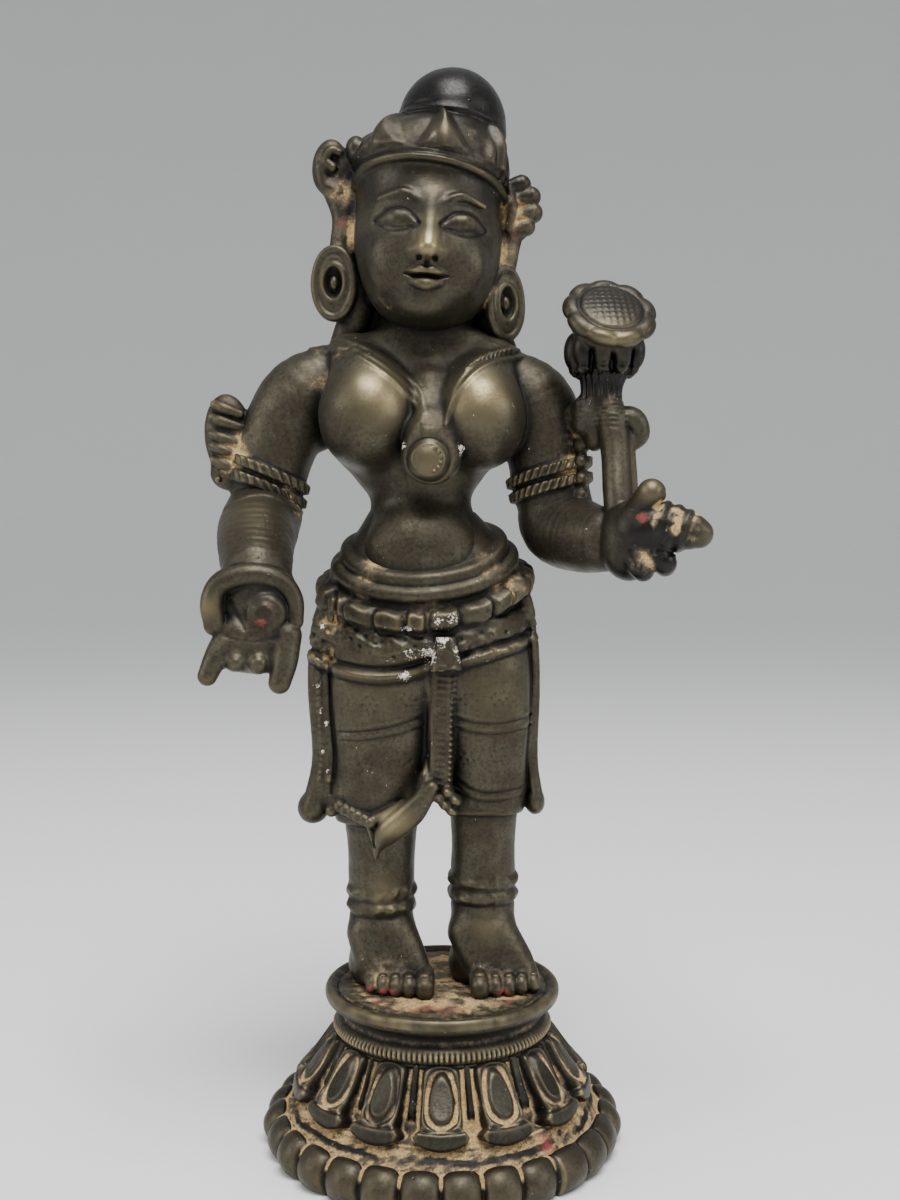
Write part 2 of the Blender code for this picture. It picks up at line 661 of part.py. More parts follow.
def file_under(collection_name, obj):
    collection = bpy.data.collections.new(collection_name)
    bpy.context.scene.collection.children.link(collection)
    for old in list(obj.users_collection):
        old.objects.unlink(obj)
    collection.objects.link(obj)


def main():
    clear_scene()
    forms = Forms()
    figure = (legs, skirt, girdle, sashes, torso, arms, shoulder_fan, giving_hand, holding_hand, lotus)
    head_parts = (head, crown, ears, hair)
    for build in (pedestal, *figure, *head_parts):
        build(forms)
    statue = skin(forms.fused("goddess_statue"), "goddess_statue")
    statue.data.materials.append(bronze_material())
    cutter = ground_cutter("ground_cutter")
    cut = statue.modifiers.new("Flat underside", "BOOLEAN")
    cut.operation = "DIFFERENCE"
    cut.object = cutter
    file_under("goddess_statue", statue)
    file_under("cutters", cutter)


main()
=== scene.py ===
"""The looks of a small cast goddess who stands on a round lotus pedestal.

The figure is modelled as a lost-wax caster works: each part is a block of wax that forms are joined to,
cut out of and embossed on, as signed distances on an even lattice, and a skin is then drawn round it.
The pedestal is turned and chased: two surfaces of angle and profile. Lengths here are millimetres. For
the figure, z counts from the plate that she stands on, and left and right are the viewer's.

STEP is the spacing of the lattice, FAR the distance in an empty block, and MARGIN how far past a seam a
form is measured. BELL_END and DOT_END are where a drawn line and a punched dot end, in their widths.
"""

from __future__ import annotations

import logging
import math
from collections.abc import Callable, Sequence
from dataclasses import dataclass, field
from enum import Enum

import bpy
import numpy as np
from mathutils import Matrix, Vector

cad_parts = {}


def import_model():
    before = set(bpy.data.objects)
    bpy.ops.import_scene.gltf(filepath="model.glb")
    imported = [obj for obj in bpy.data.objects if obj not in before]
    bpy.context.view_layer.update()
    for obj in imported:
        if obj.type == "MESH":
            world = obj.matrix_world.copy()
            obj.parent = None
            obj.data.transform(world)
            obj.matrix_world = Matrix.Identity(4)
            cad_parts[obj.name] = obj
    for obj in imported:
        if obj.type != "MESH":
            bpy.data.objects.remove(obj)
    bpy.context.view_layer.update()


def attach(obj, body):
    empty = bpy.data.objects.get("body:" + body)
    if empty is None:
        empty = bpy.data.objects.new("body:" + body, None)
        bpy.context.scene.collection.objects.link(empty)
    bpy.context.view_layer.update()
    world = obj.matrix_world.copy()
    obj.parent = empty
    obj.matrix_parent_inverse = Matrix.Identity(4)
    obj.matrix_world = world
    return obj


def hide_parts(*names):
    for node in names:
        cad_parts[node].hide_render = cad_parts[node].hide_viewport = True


LOG = logging.getLogger("goddess")
MM = 0.001
PLATE_TOP = 14.6
STEP = 0.12
FAR = 6.0
MARGIN = 0.5
BELL_END = 2.4
DOT_END = 2.2
SEED = 7
CAST_NODE = "goddess_statue"
SOCKET_KINDS = {"Place": "Vector"} | dict.fromkeys(("Skin", "Brown", "Deep", "Bare", "Color"), "Color")

Array = np.ndarray
Row = tuple[float, ...]
Rows = Sequence[Row]
Socket = bpy.types.NodeSocket


class Mark(Enum):
    """What is painted on the vertices: two marks that follow the shape, then five that are laid on."""

    # hollow: how enclosed a place is; it darkens hollows with dark patina and painted shade.
    HOLLOW = "hollow"
    # crease: above 0 on edges, which are worn yellow; below 0 in creases, which get painted shade and more
    # clay.
    CREASE = "crease"
    CLAY = "clay"
    RED = "red"
    BLACK = "black"
    # worn: wear, and painted highlights in the yellow of bare metal.
    WORN = "worn"
    WHITE = "white"


LAID_ON = tuple(Mark)[2:]


def unit(vector: Row) -> Array:
    """A vector of length 1 in the same direction."""
    value = np.asarray(vector, dtype=float)
    return value / np.linalg.norm(value)


def eased(value: Array, low: float, high: float) -> Array:
    """0 below low, 1 above high, and between them the smooth curve 3t^2 - 2t^3."""
    share = np.clip((value - low) / (high - low), 0.0, 1.0)
    return share * share * (3.0 - 2.0 * share)


def bell(value: Array, width: float) -> Array:
    """The bump e^-(value/width)^2."""
    return np.exp(-((value / width) ** 2))


def smooth_rows(rows: Rows, spans: int, closed: bool = False) -> Array:
    """Rows of a smooth curve through given rows, by the Catmull-Rom cubic.

    Args:
        rows: the rows to pass through.
        spans: new rows for each gap between two given rows.
        closed: whether the curve comes back to its first row.

    Returns:
        One row for each step along the curve.
    """
    given = np.asarray(rows, dtype=float)
    if closed:
        before, start = np.roll(given, 1, 0), given
        after, beyond = np.roll(given, -1, 0), np.roll(given, -2, 0)
    else:
        ends = np.vstack([2 * given[0] - given[1], given, 2 * given[-1] - given[-2]])
        before, start, after, beyond = ends[:-3], ends[1:-2], ends[2:-1], ends[3:]
    t = (np.arange(spans) / spans)[:, None, None]
    curve = 2 * start + (after - before) * t
    curve = curve + (2 * before - 5 * start + 4 * after - beyond) * t**2
    curve = 0.5 * (curve + (3 * start - before - 3 * after + beyond) * t**3)
    curve = curve.transpose(1, 0, 2).reshape(-1, given.shape[1])
    return np.vstack([curve, curve[:1] if closed else given[-1:]])


def mottle(points: Array, size: float, seed: int) -> Array:
    """Soft random values from -1 to 1 that wander over a given size.

    Random numbers stand at the corners of cubes, and the eight round a point are mixed by its eased place.

    Args:
        points: places, one to a row.
        size: the side of a cube.
        seed: the start of the random numbers.

    Returns:
        One value for each point.
    """
    table = np.random.default_rng(seed).uniform(-1, 1, (32, 32, 32))
    scaled = points / size + 100.0
    corner = np.floor(scaled).astype(int)
    share = scaled - corner
    return cell_mix(table, corner, share * share * (3 - 2 * share))


def cell_mix(table: Array, corner: Array, share: Array) -> Array:
    """The eight table values round each point, mixed by its share of the way along each axis.

    Args:
        table: values on a lattice that repeats.
        corner: each point's lowest corner.
        share: its place within the cell, 0 to 1 on each axis.

    Returns:
        One value for each point.
    """
    total = np.zeros(len(corner))
    for offset in np.ndindex(2, 2, 2):
        weight = np.prod(np.where(offset, share, 1 - share), axis=1)
        total += weight * table[tuple(((corner + offset) % table.shape).T)]
    return total


class Form:
    """A solid whose signed distance can be worked out anywhere."""

    def box(self) -> tuple[Array, Array]:
        """The lowest and highest corner."""
        raise NotImplementedError

    def distance(self, x: Array, y: Array, z: Array) -> Array:
        """How far each place is outside the form, less than 0 inside."""
        raise NotImplementedError

    def parts(self) -> list[Form]:
        """The simple forms that it is measured by, each within its own box."""
        return [self]


@dataclass(frozen=True)
class Lump(Form):
    """An ellipsoid with its third axis along a direction.

    With k the length of the point over the half lengths and g the length of the point over their
    squares, the distance is k(k - 1)/g.
    """

    centre: Row
    radii: Row
    aim: Row = (0.0, 0.0, 1.0)

    def box(self) -> tuple[Array, Array]:
        """The cube round the longest half length."""
        reach = max(self.radii)
        return np.asarray(self.centre) - reach, np.asarray(self.centre) + reach

    def distance(self, x: Array, y: Array, z: Array) -> Array:
        """Measured as the class says."""
        third = unit(self.aim)
        helper = (1, 0, 0) if abs(third[0]) < 0.9 else (0, 1, 0)
        second = unit(np.cross(third, helper))
        first = np.cross(second, third)
        dx, dy, dz = x - self.centre[0], y - self.centre[1], z - self.centre[2]
        total = np.float32(0)
        slope = np.float32(0)
        for axis, radius in zip((first, second, third), self.radii):
            along = (dx * axis[0] + dy * axis[1] + dz * axis[2]).astype(np.float32)
            square = along * along
            total = total + square / radius**2
            slope = slope + square / radius**4
        size = np.sqrt(total)
        return size * (size - 1) / np.sqrt(slope + 1e-6)


def ball(x: float, y: float, z: float, radius: float) -> Lump:
    """A plain ball."""
    return Lump((x, y, z), (radius, radius, radius))


@dataclass(frozen=True)
class Link(Form):
    """A straight rod between two balls of their own radius: the distance to the line less its radius."""

    start: Row
    end: Row

    def box(self) -> tuple[Array, Array]:
        """The box round both balls."""
        a, b = np.asarray(self.start), np.asarray(self.end)
        return np.minimum(a[:3] - a[3], b[:3] - b[3]), np.maximum(a[:3] + a[3], b[:3] + b[3])

    def distance(self, x: Array, y: Array, z: Array) -> Array:
        """Measured as the class says."""
        a, b = np.asarray(self.start, np.float32), np.asarray(self.end, np.float32)
        way = b[:3] - a[:3]
        dx, dy, dz = x - a[0], y - a[1], z - a[2]
        share = (dx * way[0] + dy * way[1] + dz * way[2]) / max(float(way @ way), 1e-9)
        share = np.clip(share, 0, 1)
        square = (dx - share * way[0]) ** 2 + (dy - share * way[1]) ** 2 + (dz - share * way[2]) ** 2
        return np.sqrt(square) - (a[3] + share * (b[3] - a[3]))


@dataclass(frozen=True)
class Limb(Form):
    """A round limb through rows of x, y, z and radius, along a smooth curve."""

    rows: Rows
    closed: bool = False
    spans: int = 5

    def parts(self) -> list[Form]:
        """The links along the curve."""
        curve = smooth_rows(self.rows, self.spans, self.closed)
        return [Link(tuple(a), tuple(b)) for a, b in zip(curve, curve[1:])]

    def box(self) -> tuple[Array, Array]:
        """The box round every link."""
        boxes = [part.box() for part in self.parts()]
        return np.min([low for low, _ in boxes], axis=0), np.max([high for _, high in boxes], axis=0)


@dataclass(frozen=True)
class Stack(Form):
    """A body through level oval sections: rows of z, the middle x and y, and the half widths.

    The sections are carried along z by a smooth curve. With k = ((dx/rx)^n + (dy/ry)^n)^(1/n), the
    distance is that of the section's plane, k(k - 1)/g, set square to the body's own slope.
    """

    rows: Rows
    squareness: float = 2.0

    def box(self) -> tuple[Array, Array]:
        """The box round all sections."""
        rows = np.asarray(self.rows)
        reach = rows[:, 3:5].max(axis=0) + 0.3
        low = (*(rows[:, 1:3].min(axis=0) - reach), rows[:, 0].min())
        high = (*(rows[:, 1:3].max(axis=0) + reach), rows[:, 0].max())
        return np.asarray(low), np.asarray(high)

    def distance(self, x: Array, y: Array, z: Array) -> Array:
        """Measured as the class says."""
        curve = smooth_rows(self.rows, 12)
        level = curve[:, 0]
        middle_x, middle_y, half_x, half_y = (
            np.interp(z, level, curve[:, column]).astype(np.float32) for column in range(1, 5)
        )
        slope = np.gradient((curve[:, 3] + curve[:, 4]) / 2, level)
        square_on = 1 / np.sqrt(1 + np.interp(z, level, slope).astype(np.float32) ** 2)
        across = np.abs(x - middle_x) / half_x
        deep = np.abs(y - middle_y) / half_y
        power = self.squareness
        total = across**power + deep**power
        size = total ** (1 / power)
        slope_size = np.sqrt((across / half_x) ** 2 + (deep / half_y) ** 2 + 1e-6)
        aside = size * (size - 1) / slope_size * square_on
        return np.maximum(aside, np.maximum(level[0] - z, z - level[-1]))


@dataclass(frozen=True)
class Slab(Form):
    """A box with rounded edges, turned about Z."""

    centre: Row
    half: Row
    rounding: float
    turn: float

    def box(self) -> tuple[Array, Array]:
        """The cube round its half diagonal."""
        reach = float(np.linalg.norm(self.half))
        return np.asarray(self.centre) - reach, np.asarray(self.centre) + reach

    def distance(self, x: Array, y: Array, z: Array) -> Array:
        """The length of what sticks out past the half sizes, less the rounding."""
        c, s = math.cos(self.turn), math.sin(self.turn)
        dx, dy, dz = x - self.centre[0], y - self.centre[1], z - self.centre[2]
        turned = (c * dx + s * dy, c * dy - s * dx, dz)
        out = [np.abs(p) - (h - self.rounding) for p, h in zip(turned, self.half)]
        past = np.sqrt(sum(np.maximum(o, 0) ** 2 for o in out))
        return past + np.minimum(np.maximum(np.maximum(out[0], out[1]), out[2]), 0) - self.rounding


@dataclass
class Wax:
    """A block of wax: a lattice of signed distances, less than 0 inside the wax."""

    low: Row
    high: Row
    step: float = STEP
    values: Array = field(init=False)

    def __post_init__(self) -> None:
        """Snaps the block to the shared lattice and leaves it empty."""
        pair = 2 * self.step
        self.low = tuple(math.floor(value / pair) * pair for value in self.low)
        shape = [int(math.ceil((b - a) / self.step)) + 1 for a, b in zip(self.low, self.high)]
        self.values = np.full(shape, FAR, np.float32)

    def window(self, low: Row, high: Row) -> tuple[tuple[slice, ...], tuple[Array, ...]]:
        """The part of the lattice within a box.

        Args:
            low: the box's lowest corner.
            high: its highest corner.

        Returns:
            Three slices, and the x, y and z of the lattice there, ready to be combined.
        """
        first = np.floor((np.asarray(low) - self.low) / self.step)
        last = np.ceil((np.asarray(high) - self.low) / self.step) + 1
        first, last = np.clip((first, last), 0, self.values.shape).astype(int)
        slices = tuple(slice(a, max(a, b)) for a, b in zip(first, last))
        lines = [
            (start + self.step * np.arange(s.start, s.stop)).astype(np.float32)
            for start, s in zip(self.low, slices)
        ]
        return slices, np.ix_(*lines)

    def measured(self, form: Form, margin: float) -> tuple[tuple[slice, ...], Array]:
        """The distances of a form, which are right within a margin round it.

        Args:
            form: what is measured.
            margin: how far past its box.

        Returns:
            The slices where it is measured, and the distances there.
        """
        low, high = form.box()
        slices, grid = self.window(low - margin, high + margin)
        shape = tuple(s.stop - s.start for s in slices)
        near = np.full(shape, FAR, np.float32)
        for part in form.parts():
            low, high = part.box()
            inner, grid = self.window(low - margin, high + margin)
            local = tuple(slice(i.start - s.start, i.stop - s.start) for i, s in zip(inner, slices))
            if all(s.stop > s.start for s in local):
                near[local] = np.minimum(near[local], part.distance(*grid))
        return slices, near

    def join(self, form: Form, soft: float) -> None:
        """Adds a form. With d the gap between both distances, the seam is filled by soft (1 - d/soft)^2 / 4.

        Args:
            form: what is added.
            soft: how near the surfaces have to be for the seam to fill.
        """
        slices, near = self.measured(form, soft + MARGIN)
        there = self.values[slices]
        blend = np.maximum(soft - np.abs(there - near), 0) / soft
        self.values[slices] = np.minimum(there, near) - blend * blend * (soft * 0.25)

    def lumps(self, *rows: tuple) -> None:
        """Joins ellipsoids in turn: rows of centre, half lengths, softness and maybe the aim."""
        for centre, radii, soft, *aim in rows:
            self.join(Lump(centre, radii, *aim), soft)

    def limbs(self, *rows: tuple) -> None:
        """Joins limbs in turn: rows of softness and then the limb's own rows."""
        for soft, *line in rows:
            self.join(Limb(line), soft)

    def carve(self, form: Form, soft: float) -> None:
        """Cuts a form away.

        Args:
            form: what is cut out.
            soft: how far its edge is rounded, by the rule of join.
        """
        slices, near = self.measured(form, soft + MARGIN)
        there = self.values[slices]
        blend = np.maximum(soft - np.abs(there + near), 0) / soft
        self.values[slices] = np.maximum(there, -near) + blend * blend * (soft * 0.25)

    def emboss(self, low: Row, high: Row, height: Callable[[Array, Array, Array], Array]) -> None:
        """Raises the surface by a height that is worked out from the place, or lowers it."""
        slices, grid = self.window(low, high)
        self.values[slices] -= height(*grid).astype(np.float32)

    def draw(self, line: Rows, width: float, height: float, y_range: Row = (-20, 0)) -> None:
        """Draws a smooth line as seen from the front, raised, or cut where the height is less than 0.

        Args:
            line: rows of x and z.
            width: the half width of the bump e^-(d/width)^2.
            height: how far the middle of the line stands up.
            y_range: the nearest and farthest y that it reaches.
        """
        curve = smooth_rows(line, 5).astype(np.float32)
        reach = BELL_END * width
        low = (curve[:, 0].min() - reach, y_range[0], curve[:, 1].min() - reach)
        high = (curve[:, 0].max() + reach, y_range[1], curve[:, 1].max() + reach)
        slices, (x, y, z) = self.window(low, high)
        nearest = np.full((x.shape[0], 1, z.shape[2]), FAR, np.float32)
        for start, end in zip(curve, curve[1:]):
            way = end - start
            share = ((x - start[0]) * way[0] + (z - start[1]) * way[1]) / max(float(way @ way), 1e-9)
            share = np.clip(share, 0, 1)
            gap = np.hypot(x - start[0] - share * way[0], z - start[1] - share * way[1])
            nearest = np.minimum(nearest, gap)
        self.values[slices] -= (height * bell(nearest, width)) * np.ones_like(y)

    def punch(self, places: Rows, width: float, depth: float, y_range: Row) -> None:
        """Punches small round dots at rows of x and z, as seen from the front."""
        for across, up in places:
            reach = DOT_END * width
            low = (across - reach, y_range[0], up - reach)
            slices, (x, y, z) = self.window(low, (across + reach, y_range[1], up + reach))
            dot = bell(np.hypot(x - across, z - up), width)
            self.values[slices] += depth * dot * np.ones_like(y)

    def skin(self) -> tuple[Array, Array]:
        """The closed surface between wax and air, by surface nets.

        A cell of the lattice with corners on both sides holds one vertex, the mean of the places where
        the distance passes 0 on its edges. Every lattice edge that passes 0 gives one four-sided face
        between the four cells round it.

        Returns:
            The vertices in millimetres and the faces, turned outwards.
        """
        values = self.values
        inside = values < 0
        n = np.asarray(values.shape) - 1
        count = np.zeros(n, np.uint8)
        for a, b, c in np.ndindex(2, 2, 2):
            count += inside[a : n[0] + a, b : n[1] + b, c : n[2] + c]
        active = np.flatnonzero((count > 0) & (count < 8))
        cell = np.stack(np.unravel_index(active, n), axis=1)
        number = np.full(n, -1, np.int32)
        number.ravel()[active] = np.arange(len(active))
        total = np.zeros((len(active), 3))
        hits = np.zeros(len(active))
        for axis in range(3):
            aside = [other for other in range(3) if other != axis]
            for b, c in np.ndindex(2, 2):
                start = np.zeros(3, int)
                start[aside[0]], start[aside[1]] = b, c
                end = start.copy()
                end[axis] = 1
                one = values[tuple((cell + start).T)]
                two = values[tuple((cell + end).T)]
                crosses = (one < 0) != (two < 0)
                share = np.where(crosses, one / np.where(crosses, one - two, 1), 0)
                place = start + np.outer(share, end - start)
                total += np.where(crosses[:, None], place, 0)
                hits += crosses
        vertices = (cell + total / hits[:, None]) * self.step + np.asarray(self.low)
        faces = []
        for axis in range(3):
            first, second = (axis + 1) % 3, (axis + 2) % 3
            near = [slice(1, -1)] * 3
            near[axis] = slice(0, -1)
            far = list(near)
            far[axis] = slice(1, None)
            crosses = inside[tuple(near)] != inside[tuple(far)]
            at = np.stack(np.nonzero(crosses), axis=1)
            at[:, first] += 1
            at[:, second] += 1
            corners = []
            for back_first, back_second in ((1, 1), (0, 1), (0, 0), (1, 0)):
                index = at.copy()
                index[:, first] -= back_first
                index[:, second] -= back_second
                corners.append(number[tuple(index.T)])
            quads = np.stack(corners, axis=1)
            outward = inside[tuple(at.T)]
            faces.append(np.where(outward[:, None], quads, quads[:, ::-1]))
        return vertices, np.concatenate(faces)

    def sharpness(self, points: Array) -> Array:
        """How much the surface turns within half a millimetre: above 0 on edges, below in creases."""
        near = np.clip(self.values, -0.6, 0.6)
        return lattice_at(blurred(near, 3) - near, self.low, self.step, points) / 0.12


def blurred(values: Array, reach: int) -> Array:
    """The mean over a cube of 2 reach + 1 lattice points a side, one axis after the other."""
    for axis in range(3):
        pads = [(reach + 1, reach) if other == axis else (0, 0) for other in range(3)]
        summed = np.cumsum(np.pad(values, pads, mode="edge"), axis=axis, dtype=np.float32)
        width = 2 * reach + 1
        size = values.shape[axis]
        upper = np.take(summed, range(width, width + size), axis=axis)
        values = (upper - np.take(summed, range(size), axis=axis)) / width
    return values


def lattice_at(values: Array, low: Row, step: float, points: Array) -> Array:
    """Values of a lattice at any points, mixed within its cells.

    Args:
        values: the lattice.
        low: where it starts.
        step: its spacing.
        points: places, one to a row.

    Returns:
        One value for each point.
    """
    scaled = np.clip((points - np.asarray(low)) / step, 0, np.asarray(values.shape) - 1.001)
    corner = scaled.astype(int)
    return cell_mix(values, corner, scaled - corner)


@dataclass
class Surroundings:
    """How much metal lies round any place on the whole statue, for dirt and shade in its hollows."""

    low: Row = (-25.0, -19.2, -15.6)
    high: Row = (25.2, 19.2, 88.8)
    step: float = 2 * STEP
    filled: Array = field(init=False)

    def __post_init__(self) -> None:
        """Starts with the pedestal's plain turned shape."""
        self.low = tuple(round(value / self.step) * self.step for value in self.low)
        shape = [int(math.ceil((b - a) / self.step)) for a, b in zip(self.low, self.high)]
        lines = [self.low[axis] + self.step * np.arange(shape[axis]) for axis in range(3)]
        radius = np.hypot(lines[0][:, None, None], lines[1][None, :, None])
        height = lines[2][None, None, :] + PLATE_TOP
        outline = ((0, 2, 4, 6, 10.5, 13, 13.4, 14.6), (16, 16.6, 15, 13.4, 10.2, 9.8, 11, 11.1))
        reach = np.interp(height, *outline)
        within = (radius < reach) & (height > 0) & (height < PLATE_TOP)
        self.filled = within.astype(np.float32)

    def fill(self, wax: Wax) -> None:
        """Adds what a block holds.

        Args:
            wax: the finished block, which is read at every second point of its lattice.
        """
        start = np.round((np.asarray(wax.low) - self.low) / self.step).astype(int)
        solid = np.clip(0.5 - wax.values[::2, ::2, ::2] / self.step, 0, 1)
        first = np.maximum(start, 0)
        last = np.minimum(start + solid.shape, self.filled.shape)
        target = tuple(slice(a, b) for a, b in zip(first, last))
        source = tuple(slice(a - s, b - s) for a, b, s in zip(first, last, start))
        self.filled[target] = np.maximum(self.filled[target], solid[source])

    def settle(self) -> None:
        """Spreads the filled places over about 1.5 mm, twice."""
        self.filled = blurred(blurred(self.filled, 3), 3)

    def at(self, points: Array) -> Array:
        """0 on open surfaces, up to 1 deep in a hollow, below 0 on what stands out."""
        return (lattice_at(self.filled, self.low, self.step, points) - 0.5) * 2


@dataclass(frozen=True)
class Spot:
    """A soft ball of paint: a mark, its place, its reach and how strong it is."""

    mark: Mark
    place: Row
    reach: float
    amount: float

    def on(self, points: Array) -> Array:
        """The amount times e^-(distance/reach)^2."""
        return self.amount * bell(np.linalg.norm(points - self.place, axis=1), self.reach)


def painted(points: Array, spots: Sequence[Spot], mark: Mark) -> Array:
    """The strongest spot of one mark at each point."""
    total = np.zeros(len(points))
    for spot in spots:
        if spot.mark is mark:
            total = np.maximum(total, spot.on(points))
    return total


@dataclass
class CastPart:
    """One part of the figure: a block of wax, its skin, its marks and its finish."""

    name: str
    low: Row
    high: Row
    triangles: int
    unevenness: float = 0.035
    spots: list[Spot] = field(default_factory=list)
    wax: Wax = field(init=False)
    piece: bpy.types.Object = field(init=False)

    def model(self) -> None:
        """Joins, cuts and embosses the wax."""
        raise NotImplementedError

    def cast(self) -> None:
        """Models the wax, draws its skin and makes the thinned mesh of it."""
        self.wax = Wax(self.low, self.high)
        self.model()
        vertices, faces = self.wax.skin()
        raw = mesh_of(self.name + "_raw", vertices + (0.0, 0.0, PLATE_TOP), faces)
        self.piece = thinned(self.name, raw, self.triangles)
        LOG.info("%s: %d cells, %d triangles", self.name, len(vertices), len(self.piece.data.polygons))

    def finish(self, surroundings: Surroundings, finish: BronzeFinish) -> None:
        """Roughens the skin slightly, paints the marks and lays the finish on.

        Args:
            surroundings: how much metal lies round each place.
            finish: the bronze.
        """
        mesh = self.piece.data
        points = positions(mesh) - (0.0, 0.0, PLATE_TOP)
        hollow = surroundings.at(points)
        crease = self.wax.sharpness(points)
        uneven = mottle(points, 2.6, SEED) * 0.6 + mottle(points, 0.9, SEED + 1) * 0.4
        moved = points + normals(mesh) * (uneven * self.unevenness)[:, None]
        place(mesh, moved + (0.0, 0.0, PLATE_TOP))
        paint(mesh, Mark.HOLLOW, hollow)
        paint(mesh, Mark.CREASE, crease)
        for mark in LAID_ON:
            paint(mesh, mark, painted(points, self.spots, mark))
        dress(self.piece, finish.material())


def mesh_of(name: str, vertices: Array, faces: Array) -> bpy.types.Mesh:
    """A mesh in metres.

    Args:
        name: its name.
        vertices: places in millimetres, one to a row.
        faces: vertex numbers, one face to a row.

    Returns:
        The new mesh.
    """
    mesh = bpy.data.meshes.new(name)
    sides = faces.shape[1]
    mesh.vertices.add(len(vertices))
    mesh.vertices.foreach_set("co", (vertices * MM).astype(np.float32).ravel())
    mesh.loops.add(faces.size)
    mesh.loops.foreach_set("vertex_index", faces.astype(np.int32).ravel())
    mesh.polygons.add(len(faces))
    mesh.polygons.foreach_set("loop_start", np.arange(0, faces.size, sides, dtype=np.int32))
    mesh.update(calc_edges=True)
    mesh.validate()
    return mesh


def linked(name: str, data: bpy.types.ID) -> bpy.types.Object:
    """A new object in the scene."""
    thing = bpy.data.objects.new(name, data)
    bpy.context.scene.collection.objects.link(thing)
    return thing


def thinned(name: str, mesh: bpy.types.Mesh, triangles: int) -> bpy.types.Object:
    """A smooth object at the origin, with its mesh brought down to fewer triangles.

    Args:
        name: its name.
        mesh: the full mesh, which is removed.
        triangles: how many to keep.

    Returns:
        The new object.
    """
    piece = linked(name, mesh)
    corners = piece.modifiers.new("Triangles", "TRIANGULATE")
    corners.quad_method = "SHORTEST_DIAGONAL"
    decimate = piece.modifiers.new("Thin", "DECIMATE")
    decimate.ratio = min(1.0, triangles / (2.0 * len(mesh.polygons)))
    bpy.context.view_layer.update()
    ready = piece.evaluated_get(bpy.context.evaluated_depsgraph_get())
    final = bpy.data.meshes.new_from_object(ready)
    final.name = name
    piece.modifiers.clear()
    piece.data = final
    bpy.data.meshes.remove(mesh)
    final.shade_smooth()
    return piece


def positions(mesh: bpy.types.Mesh) -> Array:
    """Every vertex in millimetres."""
    flat = np.empty(len(mesh.vertices) * 3, np.float32)
    mesh.vertices.foreach_get("co", flat)
    return flat.reshape(-1, 3).astype(float) / MM


def normals(mesh: bpy.types.Mesh) -> Array:
    """Every vertex's outward direction."""
    flat = np.empty(len(mesh.vertices) * 3, np.float32)
    mesh.vertex_normals.foreach_get("vector", flat)
    return flat.reshape(-1, 3).astype(float)


def place(mesh: bpy.types.Mesh, points: Array) -> None:
    """Moves every vertex to a place in millimetres."""
    mesh.vertices.foreach_set("co", (points * MM).astype(np.float32).ravel())
    mesh.update()


def paint(mesh: bpy.types.Mesh, mark: Mark, values: Array) -> None:
    """Writes one mark on every vertex."""
    layer = mesh.attributes.new(mark.value, "FLOAT", "POINT")
    layer.data.foreach_set("value", values.astype(np.float32))


def dress(piece: bpy.types.Object, material: bpy.types.Material) -> None:
    """Gives a piece its material, attaches it to the root body and hides the cast node that it stands for.

    Args:
        piece: the finished object.
        material: what it is made of.
    """
    piece.data.materials.clear()
    piece.data.materials.append(material)
    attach(piece, "root")
    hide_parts(CAST_NODE)


def hoop(centre: Row, radii: Row, thickness: float, slopes: Row = (0, 0), count: int = 14) -> Limb:
    """A round hoop whose plane may rise.

    Args:
        centre: its middle.
        radii: its half widths along x and y.
        thickness: its radius as a rod.
        slopes: how it rises along x and along y.
        count: how many rows it has.

    Returns:
        The closed limb.
    """
    turns = np.arange(count) * math.tau / count
    dx, dy = radii[0] * np.cos(turns), radii[1] * np.sin(turns)
    up = centre[2] + slopes[0] * dx + slopes[1] * dy
    rows = np.stack([centre[0] + dx, centre[1] + dy, up, 0 * dx + thickness], axis=1)
    return Limb([tuple(row) for row in rows], closed=True, spans=3)


